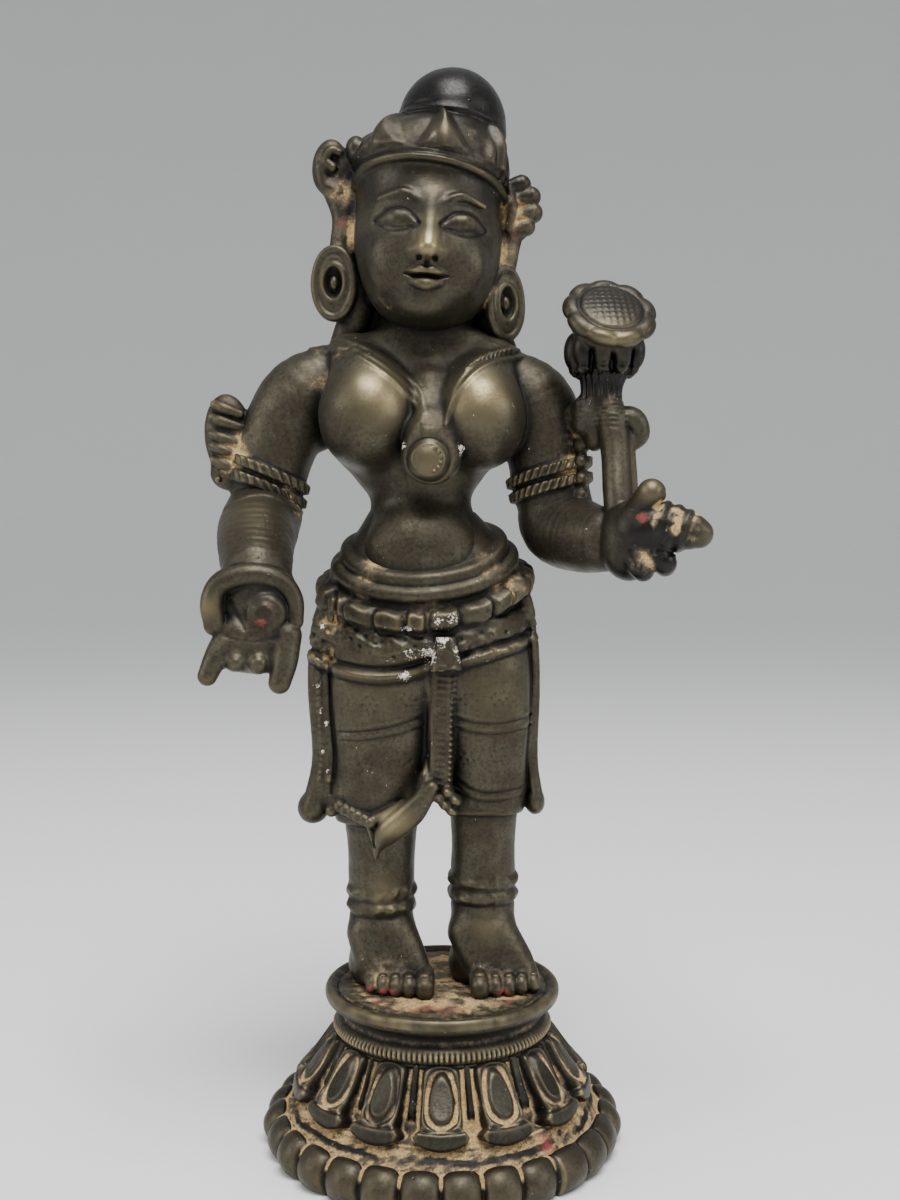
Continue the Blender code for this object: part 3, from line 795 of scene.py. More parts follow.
@dataclass
class Head(CastPart):
    """Head with a calm mask of plain proportions, crown, topknot, ears with their discs, and hair."""

    name: str = "head"
    low: Row = (-14.2, -9.6, 56.0)
    high: Row = (11.4, 9.6, 87.6)
    triangles: int = 176000
    face_x: float = -1.1
    lean: float = math.radians(4.5)
    leaves: int = 7

    def at(self, x: float, y: float, z: float) -> Row:
        """A place on the upright mask, leaned with the head about its middle."""
        up = z - 69.0
        return (
            self.face_x + x * math.cos(self.lean) + up * math.sin(self.lean),
            y,
            69.0 + up * math.cos(self.lean) - x * math.sin(self.lean),
        )

    def model(self) -> None:
        """Skull first, then what stands on it."""
        self.skull()
        self.mask()
        self.hair()
        self.crown()
        self.left_ear()
        self.right_ear()
        self.hoop_disc((-10, 0.3, 66.2), 2.15, -0.15)
        self.hoop_disc((5.6, 0.2, 64.3), 2.15, 0.62)

    def skull(self) -> None:
        """Skull and jaw."""
        self.wax.lumps(
            ((-1.3, -0.3, 70.2), (6.9, 6.7, 8.2), 1.0), ((-1.2, -1.7, 66.3), (5.3, 5, 4.7), 2.0),
            (self.at(0, -5.1, 63.3), (1.9, 1.3, 1.2), 1.6),
        )

    def rod(self, rows: Rows, soft: float, side: int = 1) -> None:
        """Joins a limb of x, y, z and radius on the leaned mask, on one side of it."""
        self.wax.join(Limb([(*self.at(side * x, y, z), radius) for x, y, z, radius in rows]), soft)

    def line(self, places: Rows, width: float, height: float, y_range: Row, side: int = 1) -> None:
        """Draws a line of x and z on the leaned mask, on one side of it."""
        self.wax.draw([self.at(side * x, 0, z)[::2] for x, z in places], width, height, y_range)

    def mask(self) -> None:
        """Nose, brows, lowered almond lids and full lips on the thirds of a plain face."""
        wax = self.wax
        self.rod([(0, -6.1, 72, 0.6), (0, -6.6, 70.4, 0.72), (0, -7.05, 68.8, 0.9), (0, -7.35, 67.8, 1)], 1.1)
        for side in (-1, 1):
            wax.join(Lump(self.at(side * 0.85, -6.75, 67.65), (0.65, 0.75, 0.52)), 0.45)
            wax.join(Lump(self.at(side * 3, -5.15, 66.8), (2, 1.3, 2.2)), 1.8)
            eye = [(1.35, -5.95, 70.2, 0.45), (2.9, -5.75, 70.45, 1.05), (4.5, -4.95, 70.35, 0.4)]
            self.rod(eye, 0.3, side)
            brow = [(0.8, -6.4, 71.9, 0.3), (2.6, -6.25, 72.75, 0.42), (4.7, -5.2, 72.3, 0.2)]
            self.rod(brow, 0.45, side)
            for places, width, height in (
                (((1, 70.1), (2.2, 71.25), (3.7, 71.3), (5, 70.4)), 0.17, -0.2),
                (((1, 69.95), (2.4, 69.3), (3.8, 69.4), (5, 70.2)), 0.16, -0.12),
                (((1.5, 69.85), (2.9, 69.65), (4.3, 69.9)), 0.12, -0.1),
            ):
                self.line(places, width, height, (-9.5, -2), side)
            wax.carve(Lump(self.at(side * 0.68, -7.35, 66.95), (0.24, 0.4, 0.16)), 0.25)
        upper = [(-1.8, -6.5, 65.5, 0.25), (-0.6, -7.15, 65.9, 0.42), (0, -7.15, 65.8, 0.4)]
        upper += [(0.6, -7.15, 65.9, 0.42), (1.8, -6.5, 65.5, 0.25)]
        lower = [(-1.4, -6.6, 65, 0.28), (0, -7.1, 64.7, 0.55), (1.4, -6.6, 65, 0.28)]
        self.rod(upper, 0.35)
        self.rod(lower, 0.35)
        mouth = ((-1.9, 65.6), (-0.8, 65.4), (0, 65.48), (0.8, 65.4), (1.9, 65.6))
        self.line(mouth, 0.14, -0.26, (-9.5, -4))
        self.line(((0, 66.8), (0, 66.3)), 0.25, -0.12, (-9.5, -4))

    def crown(self) -> None:
        """Brow band, a cap that swells over it with pointed leaves in relief, and the domed topknot."""
        wax = self.wax
        cap = [
            (72.6, -1.2, 0.5, 6.5, 6.2), (74.4, -1.1, 0.5, 6.95, 6.6), (76.2, -1, 0.4, 7.2, 6.9),
            (77.8, -0.95, 0.4, 7.3, 6.9), (79.3, -0.85, 0.5, 6.8, 6.4), (80.4, -0.3, 0.6, 5.9, 5.8),
            (81.8, 0.4, 0.7, 3.9, 4.1),
        ]
        wax.join(Stack(cap), 0.8)
        wax.join(Lump((0.94, 0.9, 81.15), (5.05, 5.3, 5.05)), 0.7)
        wax.join(hoop((-1.1, 0.3, 74.3), (7, 6.95), 0.4, (-0.115, -0.24), 20), 0.4)
        wax.emboss((-10.5, -8.6, 75), (9, 9, 83.2), self.leaf_relief)
        wax.join(Lump((-8, 0, 78.6), (1, 1.3, 1.25)), 0.5)

    def leaf_relief(self, x: Array, y: Array, z: Array) -> Array:
        """Broad pointed leaves round the cap.

        With a the arc from a leaf's middle and u its height from foot to tip, a leaf is where |a| is less
        than 2.5 (1 - u)^0.6 - 0.35 sin(pi u). It stands 0.36 up with a keel down its middle, and the cap
        is hollowed between the leaves. A ridge runs round their feet, and flutes lie over the right side.

        Returns:
            How far the surface is raised.
        """
        level = z + 0.13 * x + 0.1 * (y + 6)
        turn = np.arctan2(y - 0.4, x + 0.6)
        step = math.tau / self.leaves
        off = turn + math.radians(82)
        arc = (off - np.round(off / step) * step) * 6.8
        share = np.clip((level - 76.7) / 4.3, 0, 1)
        inside = 2.5 * (1 - share) ** 0.6 - 0.35 * np.sin(math.pi * share) - np.abs(arc)
        held = eased(level, 76.5, 76.9) * eased(81.3 - level, 0, 0.4)
        leaf = eased(inside, -0.45, 1)
        keel = 0.22 * bell(arc, 0.6) - 0.1 * bell(arc + 0.85, 0.3)
        relief = (leaf * (0.36 + keel) - 0.34 * (1 - leaf) * eased(share, 0.05, 0.3)) * held
        foot = 0.14 * bell(level - 76.45, 0.3) - 0.1 * bell(level - 76, 0.2)
        flutes = 0.14 * np.cos(turn * 34) * bell(turn + 0.1, 0.55) * eased(80.5 - level, 0, 2)
        return relief + foot + flutes

    def left_ear(self) -> None:
        """An upright hollowed leaf with a curl in it, tied to the crown, over a long lobe."""
        wax = self.wax
        wax.lumps(
            ((-10.55, 0.7, 77.2), (1.65, 1, 2.6), 0.3, (0.12, 0, 1)), ((-9, 1, 77), (1.6, 1.2, 1.9), 0.5),
        )
        wax.carve(Lump((-10.2, -0.4, 77.3), (0.85, 0.6, 1.6), (0.15, 0, 1)), 0.3)
        wax.limbs(
            (0.12, (-9.5, 0, 78.3, 0.4), (-10.3, -0.1, 78.5, 0.42), (-10.8, 0, 77.6, 0.45),
             (-10.2, -0.1, 76.9, 0.5)),
            (0.2, (-11.3, 0.3, 77, 0.6), (-11, 0.3, 75.4, 0.62), (-9.8, 0.2, 74.8, 0.6)),
            (0.3, (-10.2, 0.9, 75.2, 1.1), (-9.4, 0.8, 72.6, 1), (-9.6, 0.6, 69.7, 1)),
            (0.3, (-8.3, 0.8, 75.6, 0.9), (-8, 0.6, 72.4, 0.7), (-8.2, 0.6, 69.4, 0.8)),
            (0.5, (-8.8, 1.6, 74.8, 1.4), (-8.2, 1.9, 66.4, 1.5)),
        )

    def right_ear(self) -> None:
        """Three curled lobes side by side over a long twisted lobe."""
        wax = self.wax
        wax.join(Lump((7.3, 1, 73.2), (1.5, 1.1, 2.7)), 0.4)
        lobes = ((7.4, 75.4, 0.95), (8.3, 74.3, 0.95), (8.5, 72.8, 0.95), (7.9, 71.5, 0.85))
        wax.limbs(*((0.12, (x - 1.3, -0.1, z - 0.2, 0.5), (x, 0.2, z, radius)) for x, z, radius in lobes))
        wax.limbs(
            (0.2, (6.3, -0.3, 74.8, 0.45), (6.6, -0.5, 73, 0.5), (6.3, -0.3, 71.2, 0.45)),
            (0.3, (7.4, 0.9, 72.6, 1), (6.6, 0.8, 70.6, 0.95), (6, 0.6, 67.6, 0.95)),
            (0.25, (5.9, 0.6, 73.2, 0.7), (5.6, 0.5, 70.4, 0.6), (5.4, 0.6, 67.6, 0.75)),
            (0.5, (6.2, 1.6, 74.4, 1.4), (4.6, 1.9, 64.6, 1.4)),
        )

    def hoop_disc(self, middle: Row, half: float, turn: float) -> None:
        """One oval ear disc: two rings round a boss in a well.

        Args:
            middle: its middle.
            half: its half width.
            turn: how far it faces aside, in radians.
        """
        wax = self.wax
        face = np.asarray((math.sin(turn), -math.cos(turn), 0))
        across = np.asarray((math.cos(turn), math.sin(turn), 0))
        centre = np.asarray(middle)
        aim = tuple(face)
        wax.join(Lump(tuple(centre + face * 0.2), (half, 3.55, 0.95), aim), 0.2)
        wax.carve(Lump(tuple(centre + face * 1.1), (half * 0.64, 2.3, 0.42), aim), 0.15)
        for reach, tall, proud, thick in ((half * 0.86, 3.2, 0.62, 0.4), (half * 0.5, 1.7, 0.85, 0.25)):
            rows = [
                (*(centre + across * reach * math.cos(t) + face * proud + (0, 0, tall * math.sin(t))), thick)
                for t in np.arange(16) * math.tau / 16
            ]
            wax.join(Limb(rows, closed=True, spans=2), 0.15)
        wax.carve(Lump(tuple(centre + face * 0.9), (half * 0.36, 1.35, 0.75), aim), 0.12)
        wax.join(Lump(tuple(centre + face * 0.55), (0.42, 0.7, 0.45), aim), 0.12)

    def hair(self) -> None:
        """Hair gathered behind the neck, spread on the shoulders, with a rosette at the back."""
        wax = self.wax
        wax.lumps(((-1.4, 3.6, 66.5), (6.4, 3, 6.4), 1), ((-1.4, 3.3, 61.5), (7.4, 2.3, 3.4), 1))
        wax.limbs(
            (0.6, (-8, 1.6, 64.5, 1.5), (-9.2, 1.9, 60.5, 1.6)),
            (0.6, (4.6, 1.6, 63, 1.5), (5.8, 1.9, 59.8, 1.5)),
        )
        wax.join(Lump((-1.2, 6.6, 73), (3.4, 1.2, 3.4)), 0.3)

        def strands(x: Array, y: Array, z: Array) -> Array:
            """Locks: a wave across x that fades in behind the neck and leans outwards below."""
            spread = (x + 1.4) / (1 + 0.02 * (70 - z))
            return 0.16 * np.cos(spread * 5.2) * eased(y, 2, 3.5) * eased(72 - z, 0, 2)

        wax.emboss((-12, 1.9, 57), (9, 9, 72), strands)
        for turn in np.arange(10) * math.tau / 10:
            petal = (-1.2 + 2.3 * math.cos(turn), 7.6, 73.0 + 2.3 * math.sin(turn))
            wax.join(Lump(petal, (0.5, 0.35, 1), (math.cos(turn), 0, math.sin(turn))), 0.1)
        wax.join(Lump((-1.2, 7.8, 73), (0.9, 0.5, 0.9)), 0.1)


@dataclass
class Torso(CastPart):
    """Neck, shoulders, chest, waist and upper arms, with cords, pendant, armlets and shoulder fan."""

    name: str = "torso"
    low: Row = (-24.0, -9.8, 37.0)
    high: Row = (15.6, 6.6, 67.2)
    triangles: int = 165000

    def model(self) -> None:
        """Body and breasts, arms with their creases, then what she wears."""
        self.body()
        self.arms()
        self.cords()
        self.pendant()
        self.armlet((-16.3, 0.6, 47), -0.42, 26, 1.5)
        self.armlet((10.2, 0.5, 47.1), 0.27, 34, -1.6)
        self.fan()

    def body(self) -> None:
        """Waist, chest and neck in one stack of ovals, with two full teardrops that fade into the ribs."""
        wax = self.wax
        rows = [
            (37, -1.5, 0.4, 8, 5.2), (40.5, -1.5, 0.4, 6.9, 4.9), (43, -1.8, 0.5, 5.7, 4.5),
            (45.8, -2, 0.6, 4.75, 3.9), (48, -2.2, 0.5, 6, 4.1), (51, -2.3, 0.4, 8.4, 4.5),
            (54.5, -2, 0.5, 9.5, 4.6), (57.5, -1.8, 0.8, 9.8, 4.1), (59.6, -1.7, 0.9, 9, 3.6),
            (61.3, -1.5, 0.9, 6.5, 3.3), (62.8, -1.3, 0.7, 3.9, 3.2), (66.6, -1.2, 0.3, 3.6, 3.6),
        ]
        wax.join(Stack(rows), 1)
        wax.lumps(
            ((-1.9, -2.6, 41.2), (5, 2.9, 4), 1.6), ((-6.8, -3.1, 53.6), (4.5, 5, 5), 1.5, (0.12, 0.3, 1)),
            ((3.5, -3.1, 53.4), (4.2, 4.9, 4.8), 1.5, (-0.12, 0.3, 1)),
        )
        wax.limbs(
            (1.6, (-8.8, -0.4, 60, 1.5), (-7.4, -2.6, 57, 2.6)),
            (1.6, (5.2, -0.4, 59.2, 1.5), (4, -2.6, 56.6, 2.5)),
        )

    def arms(self) -> None:
        """Both upper arms as far as the elbows, each with a crease where it lies on the chest."""
        self.wax.limbs(
            (0.3, (-8.9, 1.4, 58.4, 2.6), (-13.2, 1.2, 55.8, 3.8), (-15.5, 0.9, 51.5, 3.75),
             (-16.4, 0.7, 48, 3.5), (-16.7, 0.6, 45.6, 3.3)),
            (0.5, (5.2, 1.2, 58, 2.6), (8.6, 0.9, 55.2, 3.75), (9.8, 0.7, 51.2, 3.8),
             (10.2, 0.5, 47.6, 3.6), (10.8, 0.1, 45, 3.5)),
            (0.6, (-12, 1.6, 54, 2.4), (-11.7, 1.6, 52.2, 1.5)),
        )
        self.wax.join(Lump((5.7, 1.4, 51.6), (1.6, 1.6, 1.8)), 0.6)

    def cords(self) -> None:
        """Three cords from the left shoulder and a beaded one from the right, meeting at the cleft."""
        wax = self.wax
        wax.join(Limb([(-1.2, -2.9, 56.5, 1.4), (-1, -4.8, 53, 1.6), (-0.95, -5.6, 51.2, 2)]), 1)
        for rise in (0, 0.85, 1.7):
            line = [
                (-12.4 - 0.3 * rise, 60.2 + rise * 0.5),
                (-8.6, 59.2 + rise * 0.75),
                (-5.2, 57.2 + rise * 0.85),
                (-2.7 + 0.25 * rise, 54.8 + rise * 0.8),
                (-1.9 + 0.3 * rise, 52.6 + rise * 0.6),
            ]
            wax.draw(line, 0.3, 0.2)
        for offset in (0, 0.9):
            line = [(7.4, 60.2 - offset), (3.6 + 0.3 * offset, 58.7 - offset)]
            line += [(1.5 + 0.45 * offset, 56.4 - 0.5 * offset), (0.6 + 0.3 * offset, 54.0), (0.4, 52.4)]
            wax.draw(line, 0.28, 0.2)
        for share in np.linspace(0, 1, 12):
            x, z = 2.2 + 4.4 * share, 57.9 + 2.0 * share**0.8
            wax.draw([(x - 0.1, z - 0.4), (x + 0.16, z + 0.35)], 0.13, 0.16)

    def pendant(self) -> None:
        """The broad shield between the breasts and the disc on it, with a rim and a row of dots."""
        wax = self.wax
        wax.lumps(
            ((-0.9, -6, 49.8), (2.75, 1.75, 2.7), 0.25), ((-0.95, -5.7, 51.4), (2.3, 1.6, 2.4), 0.7),
            ((-1.15, -7.15, 49.25), (1.8, 1.05, 1.8), 0.1),
        )
        turns = np.linspace(0, math.tau, 25)
        for radius, height in ((1.45, 0.08), (1.95, -0.16)):
            ring = [(-1.15 + radius * math.cos(t), 49.25 + radius * math.sin(t)) for t in turns]
            wax.draw(ring, 0.13, height, (-9.8, -6.6))
        for t in np.linspace(-1.1, 1, 6):
            wax.join(ball(-1.15 + 1.15 * math.cos(t), -8.05, 49.25 + 1.15 * math.sin(t), 0.17), 0.05)

    def armlet(self, middle: Row, slope: float, count: int, twist: float) -> None:
        """Two low sloping bands round an arm, cut into slanted lobes.

        With h the height over the sloping plane, each band is a raised strip 1.2 wide, and its lobes are
        the wave cos(count turn + twist h).

        Args:
            middle: the arm's middle under the bands.
            slope: how the bands rise along x.
            count: how many lobes go round.
            twist: how far the lobes lean.
        """

        def bands(x: Array, y: Array, z: Array) -> Array:
            """The height over the arm."""
            dx, dy = x - middle[0], y - middle[1]
            level = z - middle[2] - slope * dx + 0.05 * dy
            turn = np.arctan2(dy, dx)
            near = eased(5.0 - np.hypot(dx, dy), 0, 0.5)
            total = 0 * level
            for rise in (0, 1.45):
                h = level - rise
                lobes = 0.5 + 0.5 * np.cos(count * turn + twist * h * 2.2)
                strength = eased(np.cos(turn + 0.5), -0.9, 0.2) if slope < 0 else 1.0
                total = total + eased(0.68 - np.abs(h), 0, 0.3) * (0.32 + 0.22 * lobes * strength)
            return total * near

        low = (middle[0] - 5.0, middle[1] - 5.0, middle[2] - 3.2)
        self.wax.emboss(low, (middle[0] + 5, middle[1] + 5, middle[2] + 4.6), bands)

    def fan(self) -> None:
        """The ornament outside the giving arm: a smooth-edged plate with short rounded ribs on it."""
        wax = self.wax
        wax.join(Lump((-20.1, 0.3, 51.9), (2.3, 1.25, 4.1), (-0.1, 0, 1)), 0.3)
        wax.join(Lump((-20, 0.4, 48.6), (1.9, 1.1, 1.7)), 0.5)
        for number, z in enumerate((54.4, 53.1, 51.8, 50.5, 49.2)):
            bow = 0.35 * math.sin((number + 0.5) * 0.6)
            z += 0.12 * math.sin(number * 2.3)
            middle = (-20.2 - bow, -0.85, z + 0.05, 0.56)
            wax.limbs((0.12, (-18.9, -0.65, z - 0.45, 0.42), middle, (-21.2 - bow, -0.55, z + 0.5, 0.42)))
        for z in (49.9, 48.9, 47.9):
            wax.join(ball(-21, -0.55, z, 0.3), 0.1)


@dataclass
class GivingHand(CastPart):
    """The lowered forearm and its open hand."""

    name: str = "giving_hand"
    low: Row = (-22.6, -16.4, 27.6)
    high: Row = (-11.0, 5.4, 48.6)
    triangles: int = 70000

    def model(self) -> None:
        """Forearm, palm, fingers, the arched thumb and the ringed boss in the palm."""
        wax = self.wax
        wax.limbs(
            (0.5, (-16.8, 0, 44.6, 3.6), (-17, -2, 43.2, 3.7), (-16.8, -5, 42, 3.5),
             (-16.1, -9.4, 39.4, 3.05)),
        )
        wax.lumps(((-15.9, -10.6, 37), (3.7, 2.1, 3.4), 0.8), ((-16.3, -11.8, 33.5), (3.2, 1.4, 2.4), 0.6))
        wax.limbs(
            (0.5, (-17.9, -11.8, 34.2, 1), (-19.1, -12.5, 32.2, 1), (-19.8, -12.9, 30.6, 0.85)),
            (0.5, (-17.4, -11.5, 33.4, 0.95), (-17.5, -12.8, 31.8, 0.85)),
            (0.5, (-15.5, -11.5, 33.2, 1), (-15.5, -12.9, 31.6, 0.85)),
            (0.5, (-13.1, -11.8, 34, 1.2), (-13.3, -12.4, 31.8, 1.1), (-13.7, -12.8, 30, 0.95)),
            (0.6, (-18.8, -11.8, 32.6, 1.1), (-16.4, -11.9, 31.9, 1.15), (-13.7, -11.7, 32, 1.1)),
        )
        for x in (-17.3, -15.4):
            wax.join(ball(x, -13.1, 31.75, 0.62), 0.25)
        arch = [
            (-19.3, -12.2, 34.9, 0.95), (-19.5, -12.4, 36.9, 0.98), (-18.5, -12.4, 38.6, 0.98),
            (-16, -12.2, 39.2, 1), (-13.7, -11.9, 38.6, 0.9), (-12.6, -11.7, 37.1, 0.8),
            (-12.5, -11.7, 35.2, 0.75),
        ]
        wax.join(Limb(arch), 0.15)
        wax.join(Lump((-14.95, -12.2, 35.85), (1.85, 1.2, 1.85)), 0.2)
        turns = np.linspace(0, math.tau, 20)
        for radius, height in ((1.5, 0.04), (1.12, -0.07), (0.72, 0.06), (0.36, -0.06)):
            wobble = radius * (1 + 0.1 * np.sin(3 * turns + radius))
            ring = np.stack([-14.95 + wobble * np.cos(turns), 35.85 + radius * np.sin(turns)], axis=1)
            wax.draw(ring, 0.3, height, (-16, -12))
        wax.draw([(-18.6, 37.8), (-17.6, 36.2), (-16.6, 34.6)], 0.3, -0.12, (-16, -11))
        wax.draw([(-18.2, 34), (-16.2, 33.6), (-13.6, 33.9)], 0.3, -0.12, (-16, -11))
        for rise in np.arange(9) * 0.5:
            ring = [(-20.4, 40.6 + rise), (-16.6, 41.3 + rise), (-12.8, 40.6 + rise)]
            wax.draw(ring, 0.14, -0.035, (-13, 0))
        wax.draw([(-19.9, 45.2), (-17.1, 46.4), (-15, 46.1), (-13, 44.7)], 0.22, 0.16, (-8, 0))


@dataclass
class HoldingHand(CastPart):
    """The raised forearm, the hand closed round the stem, and the lotus it holds."""

    name: str = "lotus_hand"
    low: Row = (6.6, -13.6, 36.2)
    high: Row = (24.4, 5.2, 68.4)
    triangles: int = 112000
    petals: int = 9
    seed_head: Row = (15.1, -5.6, 62.6)
    seed_aim: Row = (0.12, -0.76, 0.64)
    seed_radius: float = 4.2

    def model(self) -> None:
        """Arm, fingers, stem, calyx and seed head."""
        self.arm()
        self.stem()
        self.fingers()
        self.calyx()
        self.pod()

    def arm(self) -> None:
        """Elbow, forearm and palm, with a crease at the wrist."""
        self.wax.limbs(
            (0.5, (10.6, 0.2, 46, 3.4), (11.1, -0.2, 43.6, 3.7), (13, -3.2, 42.5, 3.3),
             (14.6, -5.6, 42.2, 2.9)),
        )
        self.wax.join(Lump((16.6, -8, 42), (2.7, 2.6, 3.5)), 0.25)

    def stem(self) -> None:
        """Stem with a ridge on its right, the block that ties it to the arm, and the curled leaf."""
        wax = self.wax
        wax.limbs(
            (0.3, (15.9, -7.6, 42, 1.3), (15.7, -6.6, 46, 1.3), (15.7, -5.2, 50, 1.35),
             (15.4, -4.4, 53.2, 1.5)),
            (0.12, (17, -6.9, 44.6, 0.4), (17.1, -6.2, 47, 0.45), (17, -5.4, 49.6, 0.5),
             (16.9, -4.9, 51.6, 0.5)),
        )
        wax.join(Slab((14.4, -3.2, 53.6), (2.2, 1.5, 1.7), 0.8, -0.3), 0.5)
        wax.limbs(
            (0.6, (10.8, 0.2, 53.6, 1.5), (12.6, -1.6, 53.3, 1.7), (14.2, -3.2, 53.2, 1.6)),
            (0.15, (15.8, -4.2, 53.1, 1.25), (17.3, -4.4, 53, 1.2), (17.8, -4.4, 51.8, 1.05),
             (17.1, -4.7, 50.8, 0.75)),
        )
        wax.lumps(
            ((14, -3.4, 51.6), (1, 1.2, 1.3), 0.5), ((12.9, -2.2, 51), (0.85, 1, 0.85), 0.35),
            ((12.9, -2.2, 49.4), (0.85, 1, 0.8), 0.35), ((12.9, -2.2, 47.8), (0.85, 1, 0.8), 0.35),
            ((12.9, -2.2, 46.3), (0.85, 1, 0.85), 0.35),
        )
        for rise in np.arange(7) * 0.45:
            wax.draw([(12.6, 52.4 + rise), (16.8, 52.3 + rise)], 0.1, -0.06, (-9, -2))

    def fingers(self) -> None:
        """Thumb above, a broad cone of bent forefinger, and two short stubs below."""
        wax = self.wax
        wax.limbs(
            (0.2, (17.2, -8.8, 42.9, 2.5), (18.8, -9.5, 43.2, 2.4), (20.4, -10, 43.1, 2),
             (21.6, -10.3, 42.9, 1.55), (22.2, -10.3, 42.7, 1.3)),
            (0.1, (17.1, -9.4, 44.8, 1.15), (18.1, -10.6, 46.2, 1.25)),
            (0.15, (16.6, -9.2, 41.2, 1.5), (17.3, -9.9, 39.9, 1.15), (17.5, -9.8, 39.5, 1)),
            (0.15, (18.2, -9.6, 41.4, 1.5), (19.2, -10.1, 40.3, 1.15), (19.4, -9.9, 39.9, 0.95)),
        )
        way = unit((5.2, -1.5, -0.4))

        def rings(x: Array, y: Array, z: Array) -> Array:
            """Rings across the cone: a wave along its axis, leaned forward at the top."""
            along = (x - 18.0) * way[0] + (y + 9.2) * way[1] + (z - 43.4) * (way[2] - 0.25)
            wave = np.cos(along * math.tau / 1.15)
            return 0.09 * wave * eased(along, 0.2, 0.7) * eased(4.3 - along, 0, 0.5)

        wax.emboss((18, -13.5, 40.9), (23, -6.8, 46.2), rings)

    def calyx(self) -> None:
        """The dark cup under the seed head: round petals, small curls, and a fluted collar."""
        wax = self.wax
        collar = [(53.6, 14.5, -3.4, 1.95, 1.75), (56, 14.6, -3.4, 1.85, 1.7), (57.4, 14.8, -3.4, 2.3, 2.1)]
        wax.join(Stack([*collar, (58.6, 14.85, -3.4, 2.8, 2.6)]), 0.3)
        wax.join(Lump((14.85, -3.5, 59.6), (3, 2.8, 1.9)), 0.4)
        for turn in np.arange(self.petals) * math.tau / self.petals + 0.35:
            c, s = math.cos(turn), math.sin(turn)
            wax.join(Lump((14.85 + 2.65 * c, -3.5 + 2.45 * s, 59.3), (1.1, 1, 1.8)), 0.1)
            wax.join(ball(14.8 + 2.55 * c, -3.45 + 2.4 * s, 57.75, 0.68), 0.1)

        def flutes(x: Array, y: Array, z: Array) -> Array:
            """A wave round the collar."""
            return 0.09 * np.cos(18 * np.arctan2(y + 3.4, x - 14.6)) * eased(z, 54.8, 55.4)

        wax.emboss((12, -6, 54.8), (17.4, -0.6, 57.4), flutes)
        for x, lean in ((13.5, -0.2), (15.25, 0), (17, 0.3)):
            wax.draw([(x, 57.4), (x + 0.3 * lean, 59), (x + lean, 61)], 0.17, -0.26, (-8, -4.4))
        wax.punch([(12.7, 58), (14.4, 57.8), (16.1, 57.8), (17.6, 58.1)], 0.2, 0.14, (-8, -4.4))

    def pod(self) -> None:
        """The seed head: a tilted disc with a thick lobed rim and fine crossing lines."""
        wax = self.wax
        aim = unit(self.seed_aim)
        middle = np.asarray(self.seed_head)
        radius = self.seed_radius
        wax.join(Lump(tuple(middle - aim * 1.6), (radius - 0.8, radius - 0.8, 1.3), self.seed_aim), 0.4)
        wax.join(Lump(tuple(middle), (radius - 0.4, radius - 0.4, 0.85), self.seed_aim), 0.3)
        side = unit(np.cross(aim, (0, 0, 1)))
        over = np.cross(side, aim)
        for turn in np.arange(self.petals) * math.tau / self.petals + 0.2:
            out = side * math.cos(turn) + over * math.sin(turn)
            around = -side * math.sin(turn) + over * math.cos(turn)
            spot = middle + out * (radius - 0.72) - aim * 0.25
            wax.join(Lump(tuple(spot), (0.85, 0.75, 1.5), tuple(around)), 0.2)

        def hatching(x: Array, y: Array, z: Array) -> Array:
            """Two sets of fine grooves across the top within a groove that bounds the rim."""
            dx, dy, dz = x - middle[0], y - middle[1], z - middle[2]
            a = dx * side[0] + dy * side[1] + dz * side[2]
            b = dx * over[0] + dy * over[1] + dz * over[2]
            up = dx * aim[0] + dy * aim[1] + dz * aim[2]
            lines = np.minimum(np.cos(a * 10.5), np.cos(b * 10.5))
            reach = np.hypot(a, b)
            return (0.028 * lines * eased(2.7 - reach, 0, 0.4) - 0.16 * bell(reach - 2.95, 0.2)) * (up > 0)

        wax.emboss(tuple(middle - 4.6), tuple(middle + 4.6), hatching)


